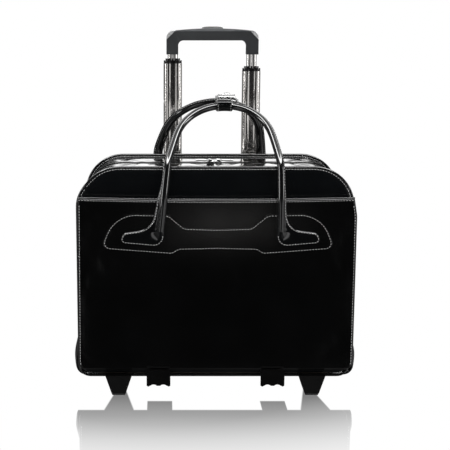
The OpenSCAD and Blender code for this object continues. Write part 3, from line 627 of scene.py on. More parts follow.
def gusset_rows(path, depths, rim_drop, rim_reach):
    """Rows of the gusset: sunk by rim_drop(z) where it is sewn, full after rim_reach(z)."""
    out = side_normals(path, closed=False)
    start, end = at(4), at(151)
    rows = []
    for y in depths:
        from_rim = min(y - start, end - y)
        z = path[:, 1]
        t = np.clip(from_rim / rim_reach(z), 0, 1)
        sunk = rim_drop(z) * (1 - np.sqrt(np.maximum(1 - (1 - t) ** 2, 0)))
        moved = path - out * sunk[:, None]
        rows.append(np.column_stack([moved[:, 0], np.full(len(path), y), moved[:, 1]]))
    return np.array(rows)


def shaped_path(path, nominal):
    """The path, drawn with a nominal half-width, pulled to the gusset's real half-width at each height."""
    bend = smoothstep(np.abs(path[:, 0]), nominal - 0.034, nominal - 0.01)
    shift = (body_half_width(path[:, 1]) - nominal) * bend
    return path + np.column_stack([np.sign(path[:, 0]) * shift, np.zeros(len(path))])


def rim_drop(z):
    """How far the gusset dips where it is sewn to a wall."""
    return (2.5 + 3 * smoothstep(z, 0.04, 0.1)) * MM


def rim_reach(z):
    return (14 + 26 * smoothstep(z, 0.2, 0.3)) * MM


def from_middle(points):
    """Direction away from the case's inside, for turning sheets outwards."""
    centre = np.array([0, at(77), 0.18])
    away = points - centre
    away[:, 1] = 0
    return away


def case_body():
    depths = np.unique(np.concatenate([at(4) + np.array([0, 1, 2.5, 4.5, 7, 10]) * MM,
                                       np.arange(at(18), at(137), 5 * MM),
                                       at(151) - np.array([10, 7, 4.5, 2.5, 1, 0]) * MM]))
    low = shaped_path(gusset_outline(True), gusset_high[0])
    side = cloth_grid("side_gusset_leather", gusset_rows(low, depths, rim_drop, rim_reach),
                      case_leather, from_middle)
    ends = gusset_high[2] - 3 * MM

    def sewn_low(points):
        rim = np.minimum(points[:, 1] - at(4), at(151) - points[:, 1])
        return np.where((rim < 5 * MM) | (points[:, 2] > ends), 1.0, 0.0)

    settle(side, sewn_low, pressure=2.0, cap=2.5 * MM, slack=0.012)
    soften(thicken(side, 2.2 * MM))
    ride(side, "root", "side_gusset")

    high = shaped_path(gusset_outline(False), crown_high[0])
    halves = (("top_gusset_front_leather", crown_low[1], crown_high[1], "top_gusset_front"),
              ("top_gusset_rear_leather", tail_low[1], tail_high[1], "top_gusset_rear"))
    for name, start, end, node in halves:
        depths = np.linspace(start, end, 15)
        half = cloth_grid(name, gusset_rows(high, depths, rim_drop, rim_reach),
                          crown_leather, from_middle)

        def sewn_high(points):
            edge = np.minimum(points[:, 1] - start, end - points[:, 1])
            return np.where((edge < 3 * MM) | (points[:, 2] < gusset_high[2] + 4 * MM), 1.0, 0.0)

        settle(half, sewn_high, pressure=1.2, cap=1.2 * MM, slack=0.010)
        soften(thicken(half, 1.8 * MM))
        ride(half, "root", node)


def wall_outline():
    half, bottom, top = wall_high[0] / MM, wall_low[2] / MM, wall_high[2] / MM
    return box_path(half, bottom, top, 56, 14)


def flared(path):
    """The left edge of the front wall stands out a little where the pocket's mouth is sewn to it."""
    out = path.copy()
    out[:, 0] -= 3.5 * MM * smoothstep(-path[:, 1], -0.322, -0.288) * (path[:, 0] < 0)
    return out


def walls():
    for name, node, face, front in (("front_wall_leather", "front_wall", FRONT_Y, True),
                                    ("back_wall_leather", "back_wall", BACK_Y, False)):
        outline = resample(wall_outline(), 4 * MM, closed=True)
        if front:
            outline = flared(outline)
        sign = 1 if front else -1
        crown = 1.2 * MM

        def depth(x, z):
            edge = edge_distance(np.column_stack([x, z]), outline)
            puff = crown * np.exp(-edge / (22 * MM))
            return face + sign * (roll(edge, 1.5 * MM) + puff * 0.5)

        wall = sheet(name, outline, depth, 7 * MM, (0.6 * MM, 1.5 * MM, 3.5 * MM), case_leather,
                     front)
        thicken(wall, 2.6 * MM)
        ride(wall, "root", node)


def piping():
    """Corded edge round the front and back walls."""
    turn = np.arange(12) * 2 * math.pi / 12
    low, high = spot("piping")
    radius = 2 * MM
    half = high[0] / MM - 2
    bottom = low[2] / MM + 0.5
    top = high[2] / MM - 2
    loop = resample(box_path(half, bottom, top, 58, 16), 4 * MM, closed=True)
    section = np.column_stack([np.cos(turn), np.sin(turn)]) * radius
    for name, y, path in (("front_piping", low[1] + radius, flared(loop)), ("back_piping", high[1] - radius, loop)):
        rings = []
        for (x, z), (nx, nz) in zip(path, side_normals(path, closed=True)):
            rings.append([(x + nx * a, y + b, z + nz * a) for a, b in section])
        cord = tube(name, rings, cord_leather, joined=True)
        ride(cord, "root", *(["piping"] if name == "front_piping" else []))


def pocket_path(closed):
    """Front-view outline of the pocket: wider at the bottom, drawn in at the right end of its mouth."""
    half, low, top = pocket_high[0] / MM, pocket_low[2] / MM - 2, pocket_high[2] / MM
    wide = half + 2.2
    corners = [(-half - 0.5, top, 1), (-wide, low, 14), (wide, low, 14), (half + 1.4, top - 24, 40),
               (half - 2.6, top, 1)]
    return resample(rounded(corners, closed), 4 * MM, closed)


def pocket():
    """Front pocket: one soft panel rolled under at its lower edge, and its narrow side strip."""
    half, top = pocket_high[0] / MM, pocket_high[2] / MM
    outline = pocket_path(True)
    low = outline[:, 1].min()
    dip = 3.0 * MM
    upper = outline[:, 1] > (top - 3) * MM
    outline[upper, 1] += 2 * MM - dip * np.cos(outline[upper, 0] / (half * MM) * math.pi / 2)
    face = pocket_low[1]
    under = 8 * MM

    def depth(x, z):
        edge = edge_distance(np.column_stack([x, z]), outline)
        y = face + roll(edge, 2.0 * MM) + roll(z - low, under) * 0.9
        hang = 2.6 * MM * np.exp(-((z - 0.275) / 0.022) ** 2) * np.exp(-(x / 0.11) ** 2)
        waist = 0.7 * MM * np.sin(x * 21) * np.exp(-((z - 0.17) / 0.06) ** 2)
        return y + hang * 0.55 + waist * 0.4

    panel = sheet("pocket_panel_leather", outline, depth, 6 * MM, (0.8 * MM, 2 * MM, 4.5 * MM),
                  pocket_leather)

    def sewn(points):
        flat = points[:, [0, 2]]
        edge = edge_distance(flat, outline)
        under_trim = (points[:, 2] > 0.208) & (points[:, 2] < 0.278) & (np.abs(points[:, 0]) < 0.17)
        return np.where(edge < 6 * MM, 1.0, np.where(under_trim, 1.0, 0.0))

    settle(panel, sewn, pressure=0.5, cap=0.6 * MM, slack=0.003)
    thicken(panel, 2.0 * MM)
    ride(panel, "root", "front_pocket_panel")

    path = pocket_path(False)
    out = side_normals(path, closed=False)
    rows = []
    for y in np.linspace(face + 3 * MM, at(-0.9), 7):
        slump = 0.8 * MM * math.sin(math.pi * (y - face) / (15 * MM))
        rows.append([(x - nx * (0.6 * MM - slump), y, z - nz * (0.6 * MM - slump))
                     for (x, z), (nx, nz) in zip(path, out)])
    strip = cloth_grid("pocket_side_strip", rows, pocket_leather, from_middle)
    soften(thicken(strip, 1.8 * MM))
    ride(strip, "root", "pocket_gusset")

    mouth = resample(outline_top(half, top, dip), 5 * MM)
    welt_r = 0.9 * MM
    turn = np.arange(10) * 2 * math.pi / 10
    section = np.column_stack([np.sin(turn) * 1.25, np.cos(turn)]) * welt_r
    path = np.column_stack([mouth[:, 0], np.full(len(mouth), face + 1.5 * MM), mouth[:, 1] + 0.4 * MM])
    rings = carried(path, np.tile([0, 0, 1.0], (len(path), 1)), section)
    welt = tube("pocket_mouth_welt", rings, cord_leather)
    ride(welt, "root", "mouth_trim")


def outline_top(half, top, dip):
    """Front-view line of the pocket's mouth, a little lower in the middle."""
    x = np.linspace(-half, half - 3, 60) * MM
    return np.column_stack([x, top * MM + 2 * MM - dip * np.cos(x / (half * MM) * math.pi / 2)])


TRIM_SHIFT = 1.5 * MM


def trim_seam():
    """Stitch line of the lobed trim: a waisted bar between two lobes."""
    right = [(0, 249.5, 0), (48.7, 251, 12), (71.4, 270, 9), (147.5, 272, 44), (166.5, 223.4, 8),
             (66, 215.8, 8), (56, 221.8, 9), (0, 223.2, 0)]
    left = [(-x, z, r) for x, z, r in reversed(right[1:-1])]
    path = rounded(right[:-1] + [(0, 223.2, 0)] + left)
    path[:, 0] += TRIM_SHIFT
    return resample(path[::-1], 3 * MM, closed=True)


def lobed_trim():
    seam = trim_seam()
    outline = grown(seam, 2.3 * MM)
    face = trim_low[1]

    def depth(x, z):
        edge = edge_distance(np.column_stack([x, z]), outline)
        hollow = 0.25 * MM * np.exp(-((edge - 2.3 * MM) / (1.2 * MM)) ** 2)
        return face + roll(edge, 1.3 * MM) + hollow

    trim = sheet("lobed_trim_leather", outline, depth, 4 * MM, (0.5 * MM, 1.3 * MM, 2.3 * MM, 3.4 * MM),
                 pocket_leather)
    thicken(trim, 1.2 * MM)
    ride(trim, "root", "lobed_trim")


# ---------- carry handles ----------

CORD_R = 5.3 * MM
COLUMNS = 20
SPLIT_Z = 0.285                             # where a lower leg ends and the arch piece begins
ANKLE_Z = 0.250
FLEX_Z = 0.346


class Handle:
    """Shape of one carry handle. Offsets are outwards from its middle line; heights are off the sewing plane."""

    def __init__(self, ankle, leg, low_x, high_x, lean_x, plane, out, pivot_y, rise, run, straight, tilt, slim,
                 slender, bend):
        self.ankle, self.leg = ankle * MM, leg * MM
        self.low_x, self.high_x, self.lean_x = low_x * MM, high_x * MM, lean_x * MM
        self.plane, self.out, self.pivot_y = plane, out, pivot_y
        self.rise, self.run, self.straight, self.bend = rise, run, straight * MM, bend
        self.cord_height = abs(bend(ANKLE_Z) - plane)
        self.tilt, self.slim, self.slender = tilt, slim, slender
        self.radius = (self.leg - self.straight * math.tan(tilt)) / math.cos(tilt)
        self.centre = self.straight - self.radius * math.sin(tilt)

    def up(self, z):
        return np.clip((z - ANKLE_Z) / (FLEX_Z - ANKLE_Z), 0, 1)

    def middle(self, z):
        return self.low_x + (self.high_x - self.low_x) * self.up(z)

    def cord(self, z):
        """Distance of the cord's centre from the middle line."""
        return self.ankle + (self.leg - self.ankle) * self.up(z)

    def boot(self, side):
        """Outline of the boot and lower leg: toe outwards, open towards the arch."""
        k = self.ankle / MM
        slim = self.slim if side > 0 else 0
        return rounded([(k - 5.3, 300, 0), (k - 5.2, 225.3, 15), (k + 59.3, 230.9, 6.5), (k + 54, 245.9, 9),
                        (k + 12.6 - slim, 251.5, 26), (k + 6 - slim, 300, 0)], closed=False)

    def row(self, z, outline):
        """Offsets and front and back heights across the boot or leg at one height above the ground."""
        a, b = outline[:-1], outline[1:]
        spans = (a[:, 1] > z) != (b[:, 1] > z)
        rise = np.where(spans, b[:, 1] - a[:, 1], 1)
        cross = (a[:, 0] + (b[:, 0] - a[:, 0]) * (z - a[:, 1]) / rise)[spans]
        low, high = cross.min(), cross.max()
        cord = self.cord(z)
        follow = float(smoothstep(z, 0.240, 0.252))
        low += (cord - CORD_R - low) * follow
        offsets = self.columns(low, high)
        top, under = self.heights(offsets, np.full(len(offsets), z), outline)
        return offsets, top, under

    def columns(self, low, high):
        """Offsets across a section, closer together where it curves most."""
        width = high - low
        cover = min(1.7 * CORD_R, 0.5 * width)
        fan = np.linspace(0, math.radians(128), 10)
        near = low + cover * (1 - np.cos(fan)) / (1 - math.cos(fan[-1]))
        far = np.array([0.12, 0.26, 0.40, 0.54, 0.67, 0.78, 0.87, 0.93, 0.97, 1])
        return np.concatenate([near, low + cover + (width - cover) * far])

    def heights(self, offsets, z, outline):
        """Front and back heights of the leather: a flat stitched sole that rises into a rolled cord."""
        sewn_edge = outline[outline[:, 1] < 0.300]
        keep = ~((sewn_edge[:, 0] < self.ankle) & (sewn_edge[:, 1] > 0.244))
        edge = edge_distance(np.column_stack([offsets, z]), sewn_edge[keep], closed=False)
        return self.section(offsets - self.cord(z), edge, smoothstep(z, 0.246, 0.264),
                            smoothstep(z, 0.231, 0.252))

    def section(self, offsets, edge, free=1.0, shown=1.0):
        """Front and back heights at offsets from the cord's centre. free lifts the leg off the pocket and
        shown brings the cord out of the sole."""
        across = offsets / CORD_R
        bump = CORD_R * np.sqrt(np.maximum(1 - across ** 2, 0))
        bump = np.where(np.abs(across) > 1, CORD_R * 2 * (1 - np.abs(across)), bump)
        flange_low = self.cord_height - 1.1 * MM
        flange = free * flange_low + (3.0 - 0.8 * free) * MM
        cord_top = self.cord_height + bump
        blend = 0.7 * MM
        above = (cord_top - flange) * shown
        top = flange + blend * np.logaddexp(0, above / blend)
        inner = np.where(across < 0, free, 0)
        top = top * (1 - inner) + inner * np.minimum(cord_top, top)
        under_cord = self.cord_height - np.maximum(bump, 0)
        under = free * np.where(across < 0, under_cord, np.minimum(under_cord, flange_low))
        closing = np.sqrt(1 - (1 - np.clip(edge / (2.0 * MM), 0, 1)) ** 2)
        return under + (top - under) * np.maximum(closing, 0.25), under

    def place(self, side, offsets, z, heights):
        x = self.middle(z) + side * offsets
        y = self.bend(z) + self.out * (heights - self.cord_height)
        return np.column_stack([x, y, np.broadcast_to(z, x.shape)])

    def boot_rings(self, side):
        outline = resample(self.boot(side), 1.5 * MM)
        sole = outline[:, 1].min()
        levels = np.concatenate([sole + np.array([0.15, 0.5, 1, 1.7, 2.5, 3.5, 4.7, 6]) * MM,
                                 np.arange(sole + 7.5 * MM, 0.243, 1.5 * MM),
                                 np.arange(0.2435, 0.256, 0.8 * MM), np.arange(0.257, SPLIT_Z - MM, 2.5 * MM),
                                 [SPLIT_Z]])
        rings = []
        for z in levels:
            offsets, top, under = self.row(z, outline)
            front = self.place(side, offsets, z, top)
            back = self.place(side, offsets, z, under)
            rings.append(np.vstack([front, back[:0:-1]]))
        return rings

    def boot_seam(self, side):
        """Stitch line of the boot and the outer side of the lower leg, on the leather's front."""
        outline = resample(self.boot(side), 1.5 * MM)
        seam = grown(outline, -1.9 * MM, closed=False)
        keep = (seam[:, 1] < SPLIT_Z) & ~((seam[:, 0] < self.ankle) & (seam[:, 1] > 0.244))
        seam = resample(seam[keep], 1.5 * MM)
        top, _ = self.heights(seam[:, 0], seam[:, 1], outline)
        return np.vstack([self.place(side, seam[i:i + 1, 0], seam[i, 1], top[i:i + 1]) for i in range(len(seam))])

    def arch_path(self):
        """Centre of the cord from one split over the arch to the other, and the middle line beside it."""
        legs = np.arange(SPLIT_Z, FLEX_Z, 3 * MM)
        left = np.array([(self.middle(z) - self.cord(z), self.bend(z), z) for z in legs])
        axis = np.array([(self.middle(z), self.bend(z), z) for z in legs])
        flat = [(-self.leg + h * math.tan(self.tilt), h) for h in np.arange(0, self.straight, 3 * MM)]
        turns = np.arange(math.pi - self.tilt, self.tilt, -3 * MM / self.radius)
        flat += [(self.radius * math.cos(t), self.centre + self.radius * math.sin(t)) for t in turns]
        flat += [(-x, h) for x, h in reversed(flat[:round(self.straight / (3 * MM))])]
        flat = np.array(flat)
        middle = np.column_stack([np.zeros(len(flat)), np.minimum(flat[:, 1], self.centre)])
        total = self.centre + self.radius

        def lift(points):
            lean = self.lean_x * points[:, 1] / total
            return np.column_stack([self.high_x + points[:, 0] + lean, self.pivot_y + points[:, 1] * self.run,
                                    FLEX_Z + points[:, 1] * self.rise])

        right = left.copy()
        right[:, 0] = 2 * axis[:, 0] - left[:, 0]
        path = np.vstack([left, lift(flat), right[::-1]])
        beside = np.vstack([axis, lift(middle), axis[::-1]])
        return smoothed(path, 26), smoothed(beside, 26)

    def tip(self, path):
        """How far the stitched flange reaches outwards from the cord's centre: widest where it leaves the boot."""
        left = np.arange(len(path)) < len(path) / 2
        reach = []
        for side in (-1, 1):
            outline = resample(self.boot(side), 1.5 * MM)
            reach.append(self.row(SPLIT_Z, outline)[0][-1] - self.cord(SPLIT_Z))
        slender = np.interp(path[:, 2], [0.346, 0.370, 0.400, 0.425], self.slender) * MM
        fade = 1 - smoothstep(path[:, 2], SPLIT_Z, 0.322)
        return slender + (np.where(left, *reach) - slender) * fade

    def arch_rings(self):
        path, beside = self.arch_path()
        sections = []
        for tip in self.tip(path):
            offsets = self.columns(-CORD_R, tip)
            top, under = self.section(offsets, tip - offsets)
            front = np.column_stack([offsets, -self.out * (top - self.cord_height)])
            back = np.column_stack([offsets, -self.out * (under - self.cord_height)])
            sections.append(np.vstack([front, back[:0:-1]]))
        return carried(path, path - beside, np.array(sections))

    def flange_seam(self, sign):
        """Stitch line along the arch's outer side, on its front (sign 1) or its back (sign -1)."""
        path, beside = self.arch_path()
        along = unit(np.gradient(path, axis=0))
        out = path - beside
        out = unit(out - (out * along).sum(1, keepdims=True) * along)
        side = np.cross(along, out) * -self.out * sign
        tip = self.tip(path)
        offset = np.where(tip > 1.4 * CORD_R, tip - 1.9 * MM, 0.78 * tip)
        heights = [abs(self.section(n, t - n)[0] - self.cord_height) for n, t in zip(offset, tip)]
        height = np.array(heights)[:, None]
        offset = offset[:, None]
        round_part = 1 - smoothstep(offset, 0.95 * CORD_R, 1.2 * CORD_R)
        return path + out * offset + side * height, unit(side * height + out * offset * round_part)


def front_bend(z):
    """The y of the front legs' centre: along the pocket, then back over the top edge."""
    z = np.asarray(z, float)
    back = np.clip((z - 0.300) / 0.046, 0, 1)
    return at(-22.5) + (at(-9) - at(-22.5)) * back


def rear_bend(z):
    return at(161.5) + 0 * np.asarray(z, float)


front_handle = Handle(86, 81, 5, 10, 4, at(-16.6), -1, at(-9), math.sin(math.radians(45)),
                      math.cos(math.radians(45)), 52, math.radians(12.5), 2.5, (5.8, 5.8, 6.5, 6.5), front_bend)
rear_handle = Handle(82, 79.8, -1, -3.9, 8, at(155.1), 1, at(161.5), math.sin(math.radians(131)),
                     math.cos(math.radians(131)), 49, math.radians(10.8), 0, (9.3, 9.0, 7.6, 6.5), rear_bend)


def ankle_blend(obj, side):
    """Bakes a front boot piece's placement into its mesh; the piece is not bent."""
    x = front_handle.middle(0.243) + side * front_handle.cord(0.243)
    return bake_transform(obj)


def flex_blend(obj, lower, upper, y):
    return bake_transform(obj)


def handles():
    for side, word in ((-1, "left"), (1, "right")):
        boot = tube("front_boot_" + word, front_handle.boot_rings(side), cord_leather)
        ankle_blend(boot, side)
        seam = stitches("front_boot_stitches_" + word, [(front_handle.boot_seam(side), (0, -1, 0))], sewing)
        ankle_blend(seam, side)
        boot_rear = tube("rear_boot_" + word, rear_handle.boot_rings(side), cord_leather)
        ride(boot_rear)
        seam = stitches("rear_boot_stitches_" + word, [(rear_handle.boot_seam(side), (0, 1, 0))], sewing)
        ride(seam)
        if side > 0:
            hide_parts("handle_tabs", "rear_handle_legs")
    for name, handle, lower, upper, stands_for in (
            ("front_handle_cord", front_handle, "front_handle_legs", "front_handle",
             ("front_handle_legs", "front_handle_arch")),
            ("rear_handle_cord", rear_handle, "root", "rear_handle", ("rear_handle_arch",))):
        cord = tube(name, handle.arch_rings(), cord_leather)
        flex_blend(cord, lower, upper, handle.pivot_y)
        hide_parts(*stands_for)
        seams = stitches(name + "_stitches", [handle.flange_seam(1), handle.flange_seam(-1)], sewing)
        flex_blend(seams, lower, upper, handle.pivot_y)


def sleeve_rings(handle, start_x, end_x, grow):
    """Rings round a stretch of a handle's arch, grown off the leather."""
    path, beside = handle.arch_path()
    top = path[:, 2] > 0.40
    along = np.linspace(start_x, end_x, 12)
    centre = np.column_stack([along] + [np.interp(along, path[top, 0], path[top, k]) for k in (1, 2)])
    axis = np.column_stack([np.interp(along, path[top, 0], beside[top, k]) for k in (0, 1, 2)])
    turn = np.arange(28) * 2 * math.pi / 28
    tip = 6.5 * MM
    wide = (tip + CORD_R) / 2 + grow
    deep = CORD_R + grow
    power = 0.72
    section = np.column_stack([
        (tip - CORD_R) / 2 + wide * np.sign(np.cos(turn)) * np.abs(np.cos(turn)) ** power,
        deep * np.sign(np.sin(turn)) * np.abs(np.sin(turn)) ** power])
    return carried(centre, centre - axis, section)


def sleeve(name, handle, start_x, end_x, body, stands_for):
    """Leather band sewn round a handle: an outer and an inner skin joined at both ends."""
    outer = sleeve_rings(handle, start_x, end_x, 1.9 * MM)
    inner = sleeve_rings(handle, start_x, end_x, 0.25 * MM)
    outer[0] += (inner[0] - outer[0]) * 0.35
    outer[-1] += (inner[-1] - outer[-1]) * 0.35
    rings = np.vstack([outer, inner[::-1]])
    band = tube(name, rings, cord_leather, joined=True)
    ride(band, body, *stands_for)
    return outer


def keeper():
    outer = sleeve("keeper_band_leather", front_handle, 1.0 * MM, 26.0 * MM, "front_handle", ("keeper_band",))
    runs = []
    for ring in (1, 10):
        loop = np.vstack([outer[ring], outer[ring][:1]])
        middle = outer[ring].mean(0)
        runs.append((loop, unit(loop - middle)))
    cross = outer[1:11, 22]
    runs.append((cross, unit(cross - outer[1:11].mean(1))))
    ride(stitches("keeper_band_stitches", runs, sewing), "front_handle")

    outer = sleeve("rear_keeper_band_leather", rear_handle, 8 * MM, 33 * MM, "rear_handle",
                   ("rear_keeper_band",))
    runs = []
    for ring in (1, 10):
        loop = np.vstack([outer[ring], outer[ring][:1]])
        runs.append((loop, unit(loop - outer[ring].mean(0))))
    ride(stitches("rear_band_stitches", runs, sewing), "rear_handle")
    flap()


FLAP_TILT = math.radians(11)


def on_flap(across, along, height):
    """Row-frame place of a point on the keeper flap."""
    low, high = spot("keeper_flap")
    middle = (low[0] + high[0]) / 2
    y = low[1] + 2 * MM * math.sin(FLAP_TILT) + along * math.cos(FLAP_TILT) - height * math.sin(FLAP_TILT)
    z = low[2] + along * math.sin(FLAP_TILT) + height * math.cos(FLAP_TILT)
    return np.array([middle + across, y, z])


def flap():
    """Leather flap that closes over both handles, with its metal plate and turn knob."""
    half, length = 12.5 * MM, 37 * MM
    rows = []
    for v in np.linspace(0, 1, 16):
        row = []
        for u in np.linspace(-1, 1, 11):
            along = v * length
            height = 1.9 * MM - 3.4 * MM * (1 - v) ** 6 - 0.5 * MM * u * u - 0.8 * MM * v ** 5
            taper = 1 - 0.10 * v ** 6
            row.append(on_flap(u * half * taper, along, height))
        rows.append(row)
    strap = cloth_grid("keeper_flap_leather", rows, cord_leather,
                       lambda p: np.tile([0, 0, 1.0], (len(p), 1)))
    soften(thicken(strap, 1.8 * MM))
    ride(strap, "keeper_flap", "keeper_flap")
    inset = 2.1 * MM
    runs = []
    for u in (-1, 1):
        places = np.linspace(0.04, 0.95, 20)
        runs.append(([on_flap(u * (half - inset), v * length, 1.7 * MM - 3.4 * MM * (1 - v) ** 6) for v in places],
                     (0, -0.2, 1)))
    runs.append(([on_flap(x, 0.945 * length, 1.55 * MM) for x in np.linspace(-half + inset, half - inset, 8)],
                 (0, -0.2, 1)))
    ride(stitches("keeper_flap_stitches", runs, sewing), "keeper_flap")

    corners = [(-12.5, -8, 2.2), (12.5, -8, 2.2), (12.5, 8, 2.2), (-12.5, 8, 2.2)]
    edge = rounded(corners)
    middle = edge.mean(0)
    rings = []
    for height, shrink in ((1.9, 0.4), (2.1, 0.0), (3.1, 0.0), (3.7, 0.35), (4.0, 1.1)):
        loop = grown(edge, -shrink * MM)
        rings.append([on_flap(4.5 * MM + x, 22 * MM + y, height * MM) for x, y in loop])
    plate = tube("clasp_plate", rings, clasp_metal)
    ride(plate, "keeper_flap", "keeper_clasp")
    turn = np.arange(32) * 2 * math.pi / 32
    rings = []
    profile = ((3.0, 3.9), (2.7, 4.6), (2.7, 5.4), (3.8, 5.8), (4.2, 6.3), (4.2, 7.1), (3.8, 7.7), (2.6, 8.0),
               (1.2, 8.05))
    for radius, height in profile:
        rings.append([on_flap(4.5 * MM + radius * MM * math.cos(t), 22 * MM + radius * MM * math.sin(t),
                              height * MM) for t in turn])
    knob = tube("clasp_knob", rings, clasp_metal)
    ride(knob, "keeper_flap")


# ---------- zip, trolley cover and padding ----------

def zipper():
    """Two woven tapes and the rows of moulded teeth between them."""
    tape_low, tape_high = spot("zip_tapes")
    path = shaped_path(gusset_outline(False), crown_high[0])
    out = side_normals(path, closed=False)
    middle = (tape_low[1] + tape_high[1]) / 2
    for sign, word in ((-1, "front"), (1, "rear")):
        rows = []
        for across, sunk in ((0.5, 0.1), (1.6, 0.3), (3.2, 0.5), (5.0, 0.7), (6.7, 1.0)):
            moved = path - out * sunk * MM
            rows.append(np.column_stack([moved[:, 0], np.full(len(path), middle + sign * across * MM), moved[:, 1]]))
        tape = cloth_grid("zip_tape_" + word, rows, tape_cloth, from_middle)
        thicken(tape, 0.9 * MM)
        ride(tape, "root", *(["zip_tapes"] if sign < 0 else []))
    pitch = 2.6 * MM
    even = resample(path, pitch)
    normals = side_normals(even, closed=False)
    along = np.column_stack([-normals[:, 1], normals[:, 0]])
    verts, faces = [], []
    quads = [(0, 1, 2, 3), (7, 6, 5, 4), (0, 4, 5, 1), (1, 5, 6, 2), (2, 6, 7, 3), (3, 7, 4, 0)]
    for sign in (-1, 1):
        shift = pitch / 2 if sign > 0 else 0
        for (x, z), (nx, nz), (tx, tz) in zip(even[1:-1], normals[1:-1], along[1:-1]):
            first = len(verts)
            for height, half in ((-0.2, 0.85), (1.1, 0.55)):
                for a, b in ((-1, -1), (1, -1), (1, 1), (-1, 1)):
                    step = a * half * MM + shift
                    verts.append((x + tx * step + nx * height * MM, middle + sign * 1.0 * MM + b * 0.95 * MM,
                                  z + tz * step + nz * height * MM))
            faces.extend(tuple(first + i for i in f) for f in quads)
    teeth = outward_normals(piece("zip_teeth_rows", verts, faces, black_plastic, sharp=30))
    ride(teeth, "root", "zip_teeth")


def trolley_cover():
    low, high = spot("trolley_cover")
    half, front, back = high[0] / MM, low[1] / MM, high[1] / MM
    plan = resample(rounded([(-half, front, 0), (-half, back, 9), (half, back, 9), (half, front, 0)],
                            closed=False), 5 * MM)
    out = -side_normals(plan, closed=False)
    levels = np.concatenate([low[2] + np.array([0, 1, 3]) * MM, np.arange(low[2] + 8 * MM, high[2] - 6 * MM, 7 * MM),
                             high[2] - np.array([3, 1, 0]) * MM])

    def bulge(z):
        return -0.4 * MM - 0.8 * MM * np.cos((z - low[2]) / (high[2] - low[2]) * 2 * math.pi) ** 2

    rows = []
    for z in levels:
        moved = plan + out * bulge(z)
        rows.append(np.column_stack([moved[:, 0], moved[:, 1], np.full(len(plan), z)]))
    centre = np.array([0, (low[1] + high[1]) / 2 - 20 * MM, 0])

    def outwards(points):
        away = points - centre
        away[:, 2] = 0
        return away

    cover = cloth_grid("trolley_cover_leather", rows, case_leather, outwards)

    def sewn(points):
        ends = (points[:, 2] < low[2] + 4 * MM) | (points[:, 2] > high[2] - 4 * MM)
        return np.where(ends | (points[:, 1] < low[1] + 6 * MM), 1.0, 0.0)

    settle(cover, sewn, pressure=0.8, cap=1.2 * MM, slack=0.008)
    soften(thicken(cover, 2.0 * MM))
    ride(cover, "root", "trolley_cover")
    runs = []
    for z in (low[2] + 4 * MM, high[2] - 4 * MM, high[2] - 10 * MM):
        line = plan + out * (bulge(z) + 0.05 * MM)
        runs.append((np.column_stack([line[:, 0], line[:, 1], np.full(len(line), z)]),
                     np.column_stack([out, np.zeros(len(out))])))
    for side in (-1, 1):
        z = np.linspace(low[2] + 8 * MM, high[2] - 12 * MM, 30)
        line = np.column_stack([np.full(30, side * (half * MM - 12 * MM)), high[1] + bulge(z) + 0.05 * MM, z])
        runs.append((line, (0, 1, 0)))
    ride(stitches("trolley_cover_stitches", runs, sewing))


def button_cap():
    """Shallow domed top of the release button."""
    low, high = spot("release_button")
    turn = np.arange(48) * 2 * math.pi / 48
    middle = (low[1] + high[1]) / 2
    base = float(spot("grip_skin")[1][2]) - 2.2 * MM
    rings = []
    for height, shrink in ((0.0, 0.0), (2.4, 0.2), (3.6, 1.2), (4.4, 3.6), (4.9, 7.0), (5.15, 11.0)):
        long, wide = (17 - shrink) * MM, max(6 - 0.5 * shrink, 1.2) * MM
        rings.append([(long * math.cos(t), middle + wide * math.sin(t), base + height * MM) for t in turn])
    cap = tube("release_button_cap", rings, button_plastic)
    ride(cap, "button", "release_button")


def divider():
    """Padded wall in front of the laptop compartment, quilted by two sewn lines."""
    low, high = spot("laptop_divider")
    half, bottom, top = high[0] / MM, low[2] / MM, high[2] / MM
    outline = resample(box_path(half, bottom, top, 24, 12), 8 * MM, closed=True)

    def depth(x, z):
        edge = edge_distance(np.column_stack([x, z]), outline)
        seam = np.exp(-((np.abs(x) - 0.08) / 0.004) ** 2)
        return low[1] + roll(edge, 2.5 * MM) + 1.2 * MM * seam

    pad = sheet("laptop_divider_pad", outline, depth, 9 * MM, (1 * MM, 2.5 * MM), lining)
    thicken(pad, 3.0 * MM)
    ride(pad, "root", "laptop_divider")


# ---------- seams ----------

